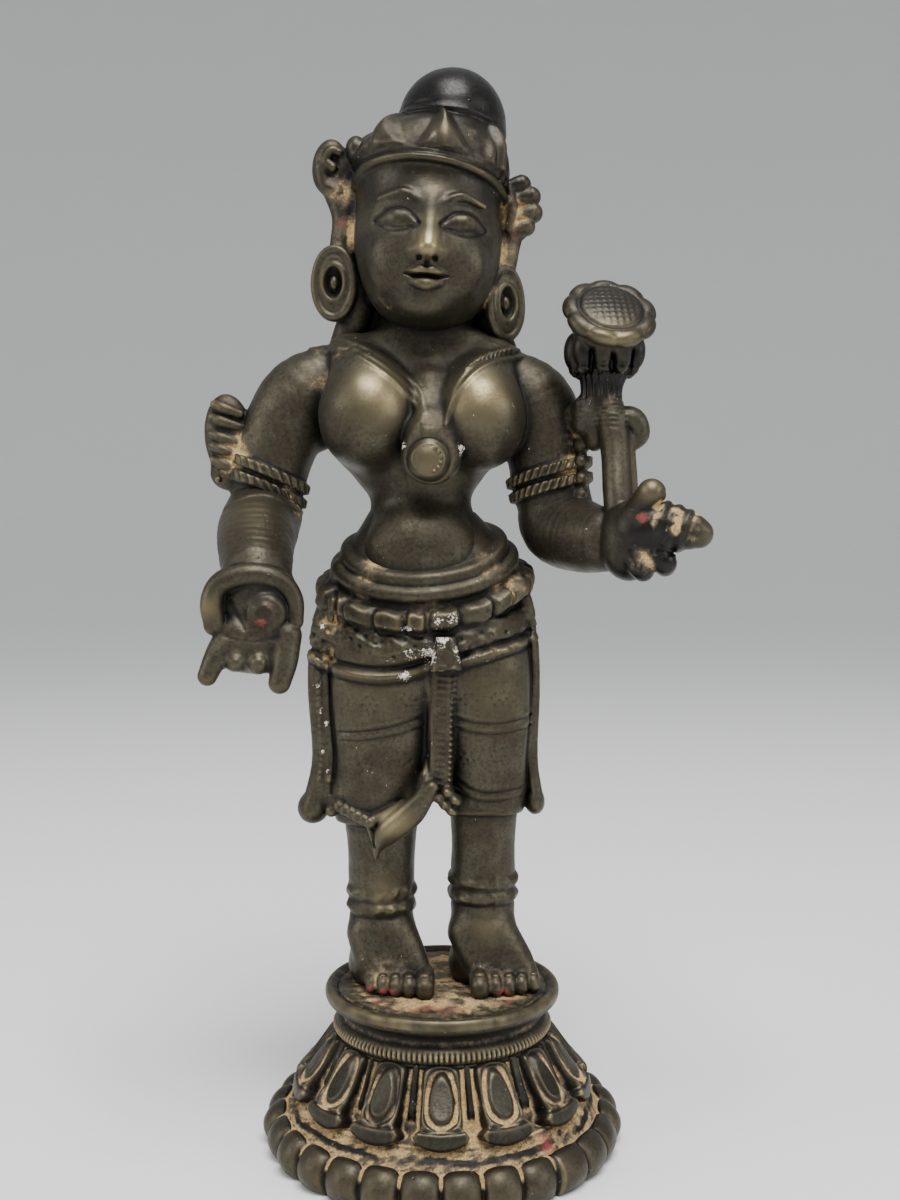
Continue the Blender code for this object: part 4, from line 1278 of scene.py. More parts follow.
@dataclass
class SkirtAndLegs(CastPart):
    """The girdle, the cloth drawn tight on the thighs, sashes, shins with anklets, and feet."""

    name: str = "skirt_and_legs"
    low: Row = (-15.6, -9.2, -0.72)
    high: Row = (11.6, 8.6, 45.6)
    triangles: int = 190000
    hips: Rows = (
        (24.5, -1.2, 0.6, 5.5, 3), (29, -1.5, 0.4, 9, 5.7), (33, -1.7, 0.4, 9.8, 6.2),
        (36, -1.65, 0.4, 9.4, 6), (38.5, -1.45, 0.4, 9.1, 5.8), (40.8, -1.35, 0.4, 8, 5.3),
        (42.4, -1.45, 0.5, 7, 4.9), (43.6, -1.65, 0.6, 6, 4.4), (44.9, -1.9, 0.7, 5, 3.9),
    )
    left_roll: Rows = ((-12.2, 31.4), (-10.4, 30.5), (-6.4, 29.8), (-3.2, 30), (-1.2, 30.7))
    right_roll: Rows = ((0.9, 30.8), (3.6, 31.6), (6, 32.3), (8.2, 33))
    rosettes: Rows = (
        (-6.5, 27.3), (-2.9, 27.7), (-6.9, 21.7), (-3.7, 22), (2.4, 27.7), (5.2, 27.8), (2.3, 22),
        (5.2, 22.4),
    )

    def model(self) -> None:
        """From the feet up, then the girdle and what hangs over the thighs."""
        self.leg(-5.85, 1, 7.4, 3.3, 4.2)
        self.leg(3.9, 1.3, 8.4, 3.05, 3.6)
        self.foot((-5.7, 0.4), (-4.15, -2.6), -1)
        self.foot((3.85, 0.7), (5.95, -2.4), 1)
        self.cloth()
        self.sashes()
        self.thigh_lines()
        self.girdle()
        self.pleats()
        self.band()

    def leg(self, x: float, y: float, anklet: float, calf: float, knee: float) -> None:
        """One shin with two lobed anklets that stand up only a little.

        Args:
            x, y: the ankle's middle.
            anklet: the height of the lower anklet.
            calf: the radius at the calf.
            knee: the radius at the knee.
        """
        wax = self.wax
        shin = (x + 0.05, y - 0.45, 14, calf)
        wax.limbs((0.6, (x, y, 1.5, 2.9), (x, y, anklet + 0.9, 3.12), shin, (x, y - 0.8, 20, knee)))
        for rise in (0, 1.45):
            wax.join(hoop((x, y, anklet + rise), (2.78, 2.78), 0.6), 0.3)

        def lobes(px: Array, py: Array, pz: Array) -> Array:
            """A wave round both anklets."""
            ripple = 0.5 + 0.5 * np.cos(11 * np.arctan2(py - y, px - x))
            both = bell(pz - anklet, 0.5) + bell(pz - anklet - 1.45, 0.5)
            dents = np.sin(2.7 * px + 1.3 * pz + y) * np.cos(1.9 * px - 2.1 * pz + 1.6 * py)
            return (0.08 * ripple + 0.17 * dents) * both - 0.08 * bell(pz - anklet + 0.75, 0.2)

        wax.emboss((x - 4.2, y - 4.2, anklet - 1.2), (x + 4.2, y + 4.2, anklet + 2.8), lobes)

    def foot(self, ankle: Row, toes: Row, outer: int) -> None:
        """A short broad foot that slopes to a step, then a close row of toes, the great toe inside.

        Args:
            ankle: the x and y of the ankle's middle.
            toes: the x and y where the row of toes starts.
            outer: the side of the little toe, -1 or 1.
        """
        wax = self.wax
        (x, y), (tx, ty) = ankle, toes
        wax.join(Lump((x, y + 1, 1.5), (3.2, 3.6, 2.4)), 0.8)
        for side, height in ((-1.9, 1.35), (0, 1.6), (1.9, 1.2)):
            rows = [(x + side * 0.75, y - 0.9, 4.9, 1.9), (x + 0.6 * (tx - x) + side, y - 1.9, 2.7, 1.5)]
            wax.join(Limb([*rows, (tx + side, ty + 0.5, height, 1.25)]), 0.8)
        places = (
            (-2.5, 0.95, 0.5), (-1.05, 0.72, 0.25), (0.2, 0.68, 0.1), (1.4, 0.64, -0.2), (2.5, 0.6, -0.6),
        )
        for side, radius, ahead in places:
            place_x = tx + outer * side
            rows = [(place_x, ty + 0.4, 1.5, radius), (place_x + 0.05, ty - 1.0 - ahead, 1.2, radius)]
            wax.join(Limb([*rows, (place_x + 0.1, ty - 1.4 - ahead, 0.6, radius * 0.9)], spans=3), 0.2)
            nail = (place_x + 0.05, ty - 1.05 - ahead, 1.3 + radius * 0.8)
            wax.join(Lump(nail, (radius * 0.55, radius * 0.6, radius * 0.22)), 0.08)

    def cloth(self) -> None:
        """Thighs and hips under tight cloth."""
        wax = self.wax
        left = [
            (15.8, -6.15, 0.3, 3.7, 3.7), (18, -6.2, 0.3, 4, 4.1), (24, -5.7, 0.2, 5, 5.1),
            (30, -5.2, 0.3, 5.8, 5.9), (35, -4.2, 0.4, 5.4, 5.9),
        ]
        right = [
            (16.6, 4.3, 0.4, 3.4, 3.5), (19, 4.45, 0.4, 3.75, 4), (24, 4.3, 0.2, 4.4, 4.9),
            (30, 3.2, 0.3, 5.4, 5.9), (35, 1.8, 0.4, 5.6, 5.9),
        ]
        for rows in (left, right):
            wax.join(Stack(rows, 2.6), 0.3)
        wax.join(Stack(self.hips), 0.9)
        wax.join(hoop((-6.15, 0.35, 16.2), (3.7, 3.7), 0.38, (0.06, 0)), 0.2)
        wax.join(hoop((4.15, 0.35, 17), (3.35, 3.35), 0.32, (0.06, 0)), 0.2)

    def thigh_lines(self) -> None:
        """Engraved double lines across the thighs and punched rosettes between them."""
        wax = self.wax
        for line in (
            [(-9.6, 24.6), (-7.85, 24.7), (-5, 25.1), (-1.8, 26)],
            [(-9.4, 23.8), (-7.4, 23.9), (-4.6, 24.3), (-1.8, 25)],
            [(1.3, 25.9), (3.4, 25.5), (5.6, 25.5), (8.2, 26)],
            [(1.4, 24.9), (3.4, 24.5), (5.6, 24.5), (8.2, 25)],
            [(1.4, 20), (2.6, 19.2), (4.4, 18.85), (7.4, 19.2)],
            [(1.4, 18.9), (2.8, 18.2), (4.6, 17.95), (7.4, 18.3)],
        ):
            wax.draw(line, 0.16, -0.1, (-9, -0.5))
            wax.draw([(x, z + 0.4) for x, z in line], 0.26, 0.07, (-9, -0.5))
        rng = np.random.default_rng(SEED)
        for x, z in self.rosettes:
            turns = np.arange(6) * math.tau / 6
            dots = [(x, z)] + [(x + 0.66 * math.cos(t), z + 0.62 * math.sin(t)) for t in turns]
            dots = [(a + rng.normal(0, 0.09), b + rng.normal(0, 0.09)) for a, b in dots]
            wax.punch(dots, 0.17, 0.1, (-9, -0.5))

    def pleats(self) -> None:
        """The strip between the thighs: a post with low rungs and a beaded right edge."""
        wax = self.wax
        post = [
            (18, 0.3, -2.7, 0.6, 1), (19.6, -0.1, -2.95, 1, 1.35), (24, -0.05, -3.5, 1.1, 1.5),
            (31, 0.05, -4.4, 1.1, 1.6),
        ]
        wax.join(Stack(post, 3), 0.4)

        def rungs(x: Array, y: Array, z: Array) -> Array:
            """Rungs every 0.62 on the strip, a side cord on its left and beads on its right."""
            off = x + 0.05 - 0.03 * (z - 25)
            wave = np.cos((z + 0.12 * x) * math.tau / 0.62)
            strip = 0.07 * wave * eased(0.62 - np.abs(off), 0, 0.3)
            edge = bell(off - 0.95, 0.26) * (0.1 + 0.1 * np.cos(z * math.tau / 0.56))
            return (strip + edge + 0.14 * bell(off + 0.85, 0.18)) * eased(-3.2 - y, 0, 0.3)

        wax.emboss((-1.6, -9, 17.9), (1.9, -3.4, 31.2), rungs)
        beads = ((0.5, 19, 0.75), (1.2, 18.3, 0.7), (0.3, 17.9, 0.65), (0.9, 17.3, 0.6), (-0.3, 18.5, 0.6))
        for x, z, radius in beads:
            wax.join(Lump((x, -4, z), (radius, 1, radius * 0.8), (0.6, 0, 1)), 0.2)

    def hip_ring(self, front: float, rise: float, thickness: float, proud: float) -> Limb:
        """A roll that follows the hips, low in front and high at the back.

        With s from -1 in front to 1 behind, its height is front + rise 1.2 tanh(0.95 (1 + s)), and it
        runs round the hips' own section there.

        Args:
            front: its height in front.
            rise: how far it climbs to the sides.
            thickness: its radius.
            proud: how far its middle stands off the hips.

        Returns:
            The closed roll.
        """
        turns = np.arange(28) * math.tau / 28
        c, s = np.cos(turns), np.sin(turns)
        z = front + rise * 1.2 * np.tanh(0.95 * (1 + s)) + 0.5 * c
        curve = smooth_rows(self.hips, 8)
        x, y, half_x, half_y = (np.interp(z, curve[:, 0], curve[:, k]) for k in range(1, 5))
        rows = np.stack([x + (half_x + proud) * c, y + (half_y + proud) * s, z, 0 * c + thickness], axis=1)
        return Limb([tuple(row) for row in rows], closed=True, spans=3)

    def girdle(self) -> None:
        """Two waist rolls, the belt of plaques, the rough swag with its rolled edge, and the clasp."""
        wax = self.wax
        for front, rise, thickness, proud, soft in (
            (38.6, 4.1, 0.68, -0.05, 0.5), (37.2, 4, 0.75, -0.02, 0.35), (34.8, 4.2, 1.1, -0.2, 0.3),
            (32.3, 3, 1.3, -0.5, 0.6),
        ):
            wax.join(self.hip_ring(front, rise, thickness, proud), soft)
        for line in (self.left_roll, self.right_roll):
            wax.draw(line, 0.42, 0.4, (-9.2, 1.5))
            wax.draw([(x, z + 0.75) for x, z in line], 0.26, -0.28, (-9.2, 1.5))
            wax.draw([(x, z - 0.7) for x, z in line], 0.2, -0.12, (-9.2, 1.5))

        def plaques(x: Array, y: Array, z: Array) -> Array:
            """Rounded oblongs of uneven width side by side along the belt, by the arc round the hips."""
            turn = np.arctan2((y - 0.4) / 5.9, (x + 1.6) / 9.0)
            s = np.sin(turn)
            line = 34.8 + 4.2 * 1.2 * np.tanh(0.95 * (1 + s)) + 0.5 * np.cos(turn)
            arc = (turn + math.pi / 2) * 8.4 + 0.55
            arc = arc + 0.3 * np.sin(arc * 0.9) + 0.15 * np.sin(arc * 2.3)
            aside = np.abs(arc - np.round(arc / 2.35) * 2.35)
            up = np.abs(z - line + 0.12 * np.sin(arc * 3.1))
            square = eased(1.22 - aside, 0, 0.62) * eased(1.2 - up - 0.12 * aside, 0, 0.62)
            return 0.36 * square - 0.18 * bell(1.17 - aside, 0.2) * eased(1.2 - up, 0, 0.4)

        wax.emboss((-13, -9.2, 32.5), (10.5, 8, 44), plaques)

        def gathered(x: Array, y: Array, z: Array) -> Array:
            """Uneven cloth between belt and hem: crossing waves and small pits."""
            turn = np.arctan2(y - 0.4, x + 1.6)
            s = np.sin(turn)
            drop = z - 30.9 - 1.9 * 1.2 * np.tanh(0.95 * (1 + s))
            zone = eased(drop, 0.2, 0.7) * eased(2.9 - drop, 0, 0.6)
            lumps = np.cos(x * 2.3 + 1.4 * np.sin(z * 1.9)) * np.cos(z * 2.6 + 0.8 * np.sin(x * 1.7))
            pits = bell(np.cos(x * 4.4 + z) * np.cos(z * 4.1 - 0.6 * x) - 0.9, 0.25)
            return (0.14 * lumps + 0.05 * np.cos(turn * 31 - z * 2.1) - 0.12 * pits) * zone

        wax.emboss((-13, -9.2, 29.5), (10.5, 8, 38), gathered)
        clasp = [(30.5, 0.4, -5.9, 1.5, 1.4), (31.6, 0.4, -6.1, 1.25, 1.4), (33.5, 0.35, -6.2, 0.9, 1.2)]
        wax.join(Stack(clasp, 3.4), 0.25)
        for x, y, z, r in ((-9.5, -3.2, 36.4, 0.8), (-9.8, -3, 35.2, 0.85), (-10.3, -2.4, 36.4, 0.8)):
            wax.join(ball(x, y, z, r), 0.2)
        wax.draw([(-9.75, 37.3), (-9.7, 35.9), (-9.8, 34.6)], 0.16, -0.3, (-6.5, -1))

    def sashes(self) -> None:
        """Long sash ends down both sides, beaded on the left, with flared rounded ends."""
        wax = self.wax
        left = ((-9, 39.6), (-10.9, 35), (-11.5, 29), (-11.1, 22), (-12, 17.4))
        right = ((6.4, 39.8), (8, 35.5), (8.5, 29), (8.3, 22), (8.85, 17.8))
        for places, radius in ((left, 1.1), (right, 0.7)):
            for y in (-1.4, 0.1, 1.5):
                wax.join(Limb([(x, y, z, radius) for x, z in places]), 0.3)
        wax.limbs(
            (0.5, (-9.8, -1.2, 35, 1.7), (-10.1, -1.2, 28, 1.7), (-9.9, -1.2, 18, 1.6)),
            (0.4, (7.2, -0.8, 34, 1.3), (7.1, -0.8, 19.5, 1.2)),
        )
        wax.lumps(((-12.2, -0.2, 16.9), (1.5, 2.6, 1.5), 0.4), ((8.8, 0.1, 17.4), (0.95, 2.2, 1.2), 0.3))
        for z in np.arange(20, 33.5, 0.62):
            x = float(np.interp(z, (17, 22, 29, 35), (-11.9, -11.1, -11.5, -10.9)))
            wax.join(ball(x, -2.45, float(z), 0.3), 0.08)
            wax.join(ball(x + 0.6, -2.4, float(z) + 0.3, 0.26), 0.08)
        for number in range(7):
            x, y = -10.3 + 0.5 * math.sin(number * 2.4), -2.2 - 0.2 * math.cos(number * 1.7)
            wax.join(ball(x, y, 17.0 + 0.75 * number, 0.62), 0.12)
        wax.draw([(-10.1, 34.2), (-10.3, 28), (-9.9, 22), (-10.3, 18.6)], 0.2, -0.32, (-6, 0))
        wax.draw([(8.1, 34.5), (8.3, 28), (7.9, 22), (8.2, 18.5)], 0.16, -0.2, (-5, 0))

    def band(self) -> None:
        """The smooth end of cloth that sweeps from the pleats down to a point, and the lobed hem."""
        wax = self.wax
        wax.limbs(
            (0.35, (-1.1, -3.2, 21.6, 0.35), (-1.4, -4.2, 20, 0.55), (-1.9, -4.75, 18.6, 0.75),
             (-3.3, -4.6, 17.2, 0.9), (-5, -4.2, 15.6, 0.95), (-5.9, -3.9, 14, 0.5),
             (-6.05, -3.7, 12.9, 0.2)),
            (0.35, (-0.9, -4.8, 19.6, 0.6), (-2.4, -4.5, 17, 0.8), (-4.3, -4.1, 15.2, 0.7),
             (-5.8, -3.8, 13.8, 0.25)),
            (0.35, (-3.6, -4.2, 17.9, 0.5), (-5.2, -3.9, 16.8, 0.6), (-6.5, -3.6, 16.2, 0.5),
             (-6.2, -3.7, 14.6, 0.4)),
        )
        wax.draw([(-1.35, 30.4), (-1.2, 26.4), (-1.4, 23.4), (-1.7, 20.8)], 0.24, 0.2, (-9, -1))
        wax.draw([(-6.4, 15.6), (-6.3, 14.6), (-6.15, 13.8)], 0.12, -0.25, (-6, -2))
        for number in range(6):
            share = number / 5
            wax.join(ball(-9.6 + 3.0 * share, -2.7 - 1.3 * share, 17.5 - 1.3 * share, 0.6), 0.1)


def closed_grid(rows: int, count: int) -> tuple[Array, Array, Array]:
    """A grid whose columns close round: its vertex numbers, the next ones round, and its faces."""
    index = np.arange(rows * count).reshape(rows, count)
    after = np.roll(index, -1, axis=1)
    return index, after, np.stack([index[:-1], index[1:], after[1:], after[:-1]], axis=-1).reshape(-1, 4)


@dataclass
class TurnedPart:
    """A part of the pedestal: a surface of angle and profile, closed at both poles."""

    name: str
    around: int
    profile_rows: int

    def surface(self) -> tuple[Array, Array, Array, dict[Mark, Array]]:
        """Radius, height and extra turn on the grid of profile and angle, and the marks there."""
        raise NotImplementedError

    def make(self, surroundings: Surroundings, finish: BronzeFinish) -> None:
        """Builds the grid, closes it, paints its marks and lays the finish on.

        Args:
            surroundings: how much metal lies round each place.
            finish: the bronze.
        """
        radius, height, turn, marks = self.surface()
        x, y = radius * np.cos(turn), radius * np.sin(turn)
        points = np.stack([x, y, height], axis=-1)
        rows, count = radius.shape
        index, after, quads = closed_grid(rows, count)
        caps = []
        for ring, centre, flip in ((0, rows * count, False), (rows - 1, rows * count + 1, True)):
            a, b = index[ring], after[ring]
            cap = np.stack([np.full(count, centre), a, b, b], axis=1)
            caps.append(cap[:, [0, 2, 1, 1]] if flip else cap)
        top = (0.0, 0.0, float(height[0].mean()))
        bottom = (0.0, 0.0, float(height[-1].mean()))
        vertices = np.vstack([points.reshape(-1, 3), top, bottom])
        split = np.vstack([quads[:, [0, 1, 2]], quads[:, [0, 2, 3]], *[cap[:, :3] for cap in caps]])
        mesh = mesh_of(self.name, vertices, split)
        mesh.shade_smooth()
        piece = linked(self.name, mesh)
        places = positions(mesh) - (0.0, 0.0, PLATE_TOP)
        paint(mesh, Mark.HOLLOW, surroundings.at(places))
        paint(mesh, Mark.CREASE, self.sharpness(mesh, points))
        for mark in LAID_ON:
            paint(mesh, mark, np.append(marks.get(mark, 0 * radius).ravel(), (0, 0)))
        dress(piece, finish.material())
        LOG.info("%s: %d triangles", self.name, len(mesh.polygons))

    def sharpness(self, mesh: bpy.types.Mesh, points: Array) -> Array:
        """How far each place stands out from the mean of its neighbours on the grid.

        Args:
            mesh: the finished mesh, for its normals.
            points: the grid in millimetres.

        Returns:
            One value for each vertex, where 1 stands for 0.05 mm.
        """
        mean = points.copy()
        for _ in range(3):
            padded = np.concatenate([mean[:1], mean, mean[-1:]], axis=0)
            mean = (padded[:-2] + padded[2:] + np.roll(mean, 1, 1) + np.roll(mean, -1, 1)) / 4
        outward = normals(mesh)[: points.shape[0] * points.shape[1]]
        proud = np.einsum("ij,ij->i", (points - mean).reshape(-1, 3), outward)
        return np.append(proud / 0.05, (0, 0))


def profile_at(knots: Rows, shares: Array) -> tuple[Array, Array]:
    """A smooth profile through knots of radius and height, at even shares of its knots."""
    curve = smooth_rows(knots, 24)
    along = np.linspace(0, 1, len(curve))
    return np.interp(shares, along, curve[:, 0]), np.interp(shares, along, curve[:, 1])


@dataclass
class LotusBase(TurnedPart):
    """Fourteen broad petals that slope to rolled tips, the ledge, and the rim of beads."""

    name: str = "lotus_base"
    around: int = 616
    profile_rows: int = 116
    petals: int = 14
    beads: int = 28
    petal_knots: Rows = (
        (10.1, 10.45), (10.6, 10.2), (11.35, 9.1), (12.1, 8.05), (12.75, 7.2), (13.35, 6.65),
        (13.95, 6.25), (14.1, 5.6), (13.8, 5), (13.3, 4.6),
    )
    gap_knots: Rows = (
        (9.95, 10.2), (10.15, 9.7), (10.6, 8.6), (11.1, 7.5), (11.6, 6.6), (12, 5.8), (12.3, 5.3),
        (12.6, 5), (12.95, 4.8), (13.3, 4.6),
    )
    ledge_knots: Rows = ((13.3, 4.6), (13.6, 4.2), (14.1, 3.75), (14.5, 3.35), (14.75, 3.15))
    bead_knots: Rows = (
        (14.75, 3.15), (14.9, 3.5), (15.35, 3.62), (15.95, 3.45), (16.5, 2.95), (16.92, 2.2), (17, 1.45),
        (16.75, 0.75), (16.3, 0.15), (15.9, 0),
    )
    notch_knots: Rows = (
        (14.75, 3.15), (14.95, 3.05), (15.2, 2.85), (15.4, 2.6), (15.6, 2.3), (15.75, 1.9), (15.8, 1.4),
        (15.8, 0.8), (15.8, 0.3), (15.75, 0),
    )

    def surface(self) -> tuple[Array, Array, Array, dict[Mark, Array]]:
        """The profile mixes a raised and a sunk outline by how far the angle is inside a petal or bead.

        A petal's edge is at half width w(s). On its face lies an oval: with e the length of the point
        over the oval's half lengths, a groove runs where e is near 0.84, a panel swells inside it, and the
        border outside it stays proud. The tip rolls out lowest at its middle.

        Returns:
            Radius, height, turn and marks on the grid.
        """
        turn = np.linspace(0, math.tau, self.around, endpoint=False)[None, :]
        upper = self.petal_rows(turn)
        ledge = self.ledge_rows(turn)
        rim = self.bead_rows(turn)
        top_r = np.linspace(0.02, 1, 6)[:-1, None] * upper[0][:1]
        top = (top_r, np.repeat(upper[1][:1], 5, 0), 0 * top_r, 0 * top_r)
        flat_r = np.linspace(1, 0.02, 11)[1:, None] * rim[0][-1:]
        flat = (flat_r, 0 * flat_r, 0 * flat_r, 0 * flat_r)
        radius, height, clay, red = (np.vstack(layers) for layers in zip(top, upper, ledge, rim, flat))
        turns = np.repeat(turn, len(radius), axis=0)
        black = 0.12 + 0.43 * (height > 4.65) + 0.2 * (radius > 15.2)
        return radius, height, turns, {Mark.CLAY: clay, Mark.RED: red, Mark.BLACK: black}

    def petal_rows(self, turn: Array) -> tuple[Array, ...]:
        """The petals, from their tops down past their tips.

        Args:
            turn: the angles, in one row.

        Returns:
            Radius, height, clay and red, in rows down the profile.
        """
        step = math.tau / self.petals
        number = np.round((turn + math.pi / 2) / step)
        aside = (turn + math.pi / 2) - number * step
        which = number.astype(int) % self.petals
        rng = np.random.default_rng(SEED)
        size = 1 + 0.05 * rng.standard_normal(self.petals)[which]
        aside = aside + (0.012 * rng.standard_normal(self.petals))[which]
        s = np.linspace(0, 1, 60)[:, None]
        raised_r, raised_z = profile_at(self.petal_knots, s)
        sunk_r, sunk_z = profile_at(self.gap_knots, s)
        arc = np.abs(aside) * raised_r
        half = size * np.interp(
            s, (0, 0.12, 0.5, 0.6, 0.65, 0.72, 0.8, 0.88, 0.95, 1),
            (1.5, 1.7, 2, 2, 2.38, 2.68, 2.5, 2, 1.3, 0.4),
        )
        inside = half - arc
        weight = eased(inside, -0.12, 0.3)
        droop = 1.2 * eased(s, 0.55, 0.8) * (1 - (arc / half) ** 2)
        radius = sunk_r + (raised_r - sunk_r) * weight
        radius = radius + 0.12 * (1 - (arc / half) ** 2) * bell(s - 0.76, 0.12) * weight
        height = sunk_z + (raised_z - sunk_z - droop * 0.5 * eased(0.98 - s, 0, 0.15)) * weight
        oval = np.sqrt((arc / (half * 0.86)) ** 2 + ((s - 0.335) / 0.3) ** 2)
        on_face = eased(0.68 - s, 0, 0.06)
        relief = (-0.3 * bell(oval - 0.84, 0.14) + 0.16 * eased(0.72 - oval, 0, 0.2)) * on_face
        relief = relief + 0.1 * bell(oval - 1.08, 0.13) * on_face
        crease = -0.2 * bell(s - 0.63, 0.018) * eased(inside, 0.1, 0.4)
        between = np.abs(np.abs(aside) - step / 2) * raised_r
        sepal = 0.5 * eased(0.42 + 0.35 * s - between, 0, 0.3) * eased(0.52 - s, 0, 0.1) * (1 - weight)
        out = relief + crease + sepal
        uneven = 1 + 0.35 * np.sin(7 * turn + 9 * s) * np.sin(23 * turn - 6 * s)
        on_face = on_face * eased(s, 0.02, 0.2)
        clay = 0.74 * uneven * bell(oval - 0.88, 0.15 + 0.08 * uneven) * on_face
        clay = clay + 0.7 * (1 - eased(inside, -0.2, 0.12)) * (1 - 1.4 * sepal)
        clay = clay * (0.8 + 0.3 * np.sin(5 * turn + 2)) + 0.4 * eased(s, 0.9, 0.98)
        red = 0.5 * bell(turn - math.radians(285), 0.07) * bell(s - 0.75, 0.12)
        return radius + out * 0.78, height + out * 0.6, np.clip(clay, 0, 1), red * np.ones_like(arc)

    def ledge_rows(self, turn: Array) -> tuple[Array, ...]:
        """The narrow ledge outside the petals' tips.

        Args:
            turn: the angles, in one row.

        Returns:
            Radius, height, clay and red, in rows down the profile.
        """
        s = np.linspace(0, 1, 11)[1:, None]
        radius, height = profile_at(self.ledge_knots, s)
        wave = 0.1 * np.cos(turn * 14 + 0.6) + 0.08 * np.sin(turn * 9)
        broken = eased(np.sin(turn * 5 + 1) + np.sin(turn * 11), -1.4, 0)
        ring = bell(radius - 14.15 - wave, 0.16) * broken
        lumps = 0.06 * np.cos(turn * 37 + radius * 9) * np.cos(turn * 23)
        red = 0.8 * bell(turn - math.radians(311), 0.11) * np.ones_like(radius)
        return radius + 0 * turn, height + 0.12 * ring + lumps, 0.56 - 0.28 * ring + 3.6 * lumps, red

    def bead_rows(self, turn: Array) -> tuple[Array, ...]:
        """The rim of beads, some of them worn flat.

        Args:
            turn: the angles, in one row.

        Returns:
            Radius, height, clay and red, in rows down the profile.
        """
        step = math.tau / self.beads
        bead = (turn + math.pi / 2) / step - 0.5
        which = np.round(bead).astype(int) % self.beads
        aside = np.abs(bead - np.round(bead)) * 2
        uneven = 1 + 0.07 * np.random.default_rng(SEED + 2).standard_normal(self.beads)[which]
        worn = (which >= 3) & (which <= 5)
        round_top = np.sqrt(np.clip(1 - (aside * (1.02 + 0.1 * (uneven - 1))) ** 2, 0, 1))
        round_top = round_top * np.minimum(uneven, 1.03)
        s = np.linspace(0, 1, 31)[1:, None]
        inner = eased(s, 0, 0.3)
        start = eased(round_top * 1.1 - (1 - inner) * 0.9, 0, 0.5)
        bulge = np.where(s < 0.3, np.minimum(round_top, start), round_top)
        bulge = np.where(worn, 0.55 + 0.35 * bulge, bulge)
        raised_r, raised_z = profile_at(self.bead_knots, s)
        sunk_r, sunk_z = profile_at(self.notch_knots, s)
        radius = sunk_r + (raised_r - sunk_r) * bulge
        height = sunk_z + (raised_z - sunk_z) * bulge
        clay = 0.85 * (1 - eased(bulge, 0.3, 0.7)) * eased(0.6 - s, 0, 0.25)
        red = 0.6 * bell(turn - math.radians(311), 0.1) * eased(0.4 - s, 0, 0.2)
        return radius, height, clay, red * np.ones_like(radius)


@dataclass
class PlateAndCollar(TurnedPart):
    """The round plate with its raised lip, the hollow collar and the milled ring."""

    name: str = "plate_and_collar"
    around: int = 660
    profile_rows: int = 84
    ridges: int = 132
    knots: Rows = (
        (0.4, 14.6), (5, 14.6), (9.4, 14.55), (10.1, 14.6), (10.5, 14.8), (10.9, 14.75), (11.12, 14.35),
        (11.08, 13.85), (10.85, 13.5), (10.2, 13.2), (9.75, 12.85), (9.55, 12.4), (9.6, 12.1),
        (9.85, 11.85), (9.95, 11.75), (10.1, 11.55), (10.3, 11.1), (10.15, 10.65), (10, 10.5),
        (10.1, 10.35), (9.95, 10.1), (9.3, 9.9), (5, 9.8), (0.4, 9.8),
    )

    def surface(self) -> tuple[Array, Array, Array, dict[Mark, Array]]:
        """The profile, with ridges cut across the milled ring and a rough, dented top.

        Returns:
            Radius, height, turn and marks on the grid.
        """
        turn = np.linspace(0, math.tau, self.around, endpoint=False)[None, :]
        shares = np.linspace(0, 1, self.profile_rows)[:, None]
        radius, height = profile_at(self.knots, shares)
        on_ring = bell(height - 11.1, 0.36) * (radius > 9.6) * (height < 12)
        radius = radius + on_ring * (0.13 * np.cos(turn * self.ridges) - 0.02)
        height = height + 0 * turn
        places = np.stack([radius * np.cos(turn), radius * np.sin(turn), height], axis=-1).reshape(-1, 3)
        dents = (mottle(places, 1.7, SEED + 3) + 0.7 * mottle(places, 0.6, SEED + 4)).reshape(radius.shape)
        on_top = eased(height, 14.4, 14.55) * (shares < 0.2)
        height = height + 0.07 * dents * on_top
        height = height - 0.12 * bell(radius - 9.9, 0.2) * on_top
        turns = np.repeat(turn, self.profile_rows, axis=0)
        dust = (0.56 + 0.14 * eased(dents, -0.9, 0.5)) * on_top
        collar = bell(height - 12.2, 0.4) * (radius < 10) * 0.3
        across = radius * np.cos(turn)
        ahead = radius * np.sin(turn)
        front = bell(across + 0.5, 5) * bell(ahead + 7.4, 1.6) * 0.95
        for x, y in ((-5.6, -5.5), (5.6, -5.3)):
            front = np.maximum(front, 1.1 * bell(across - x, 1.7) * bell(ahead - y, 0.8))
        lip = bell(radius - 10.9, 0.3) * (height > 14) * (0.25 + 0.3 * dents)
        # Painted highlights on the crests of the milled ring, as worn yellow and pale clay, and painted shade
        # in its furrows, as the Black mark.
        crests = on_ring * eased(np.cos(turn * self.ridges), -0.3, 0.7)
        furrows = on_ring * eased(-np.cos(turn * self.ridges), -0.3, 0.7)
        clay = dust * (1 - 0.85 * bell(radius - 10.1, 0.6)) + collar + 0.3 * crests
        worn = np.clip(lip + crests, 0, 1)
        marks = {Mark.CLAY: clay, Mark.RED: front * on_top, Mark.BLACK: furrows, Mark.WORN: worn}
        return radius, height, turns, marks


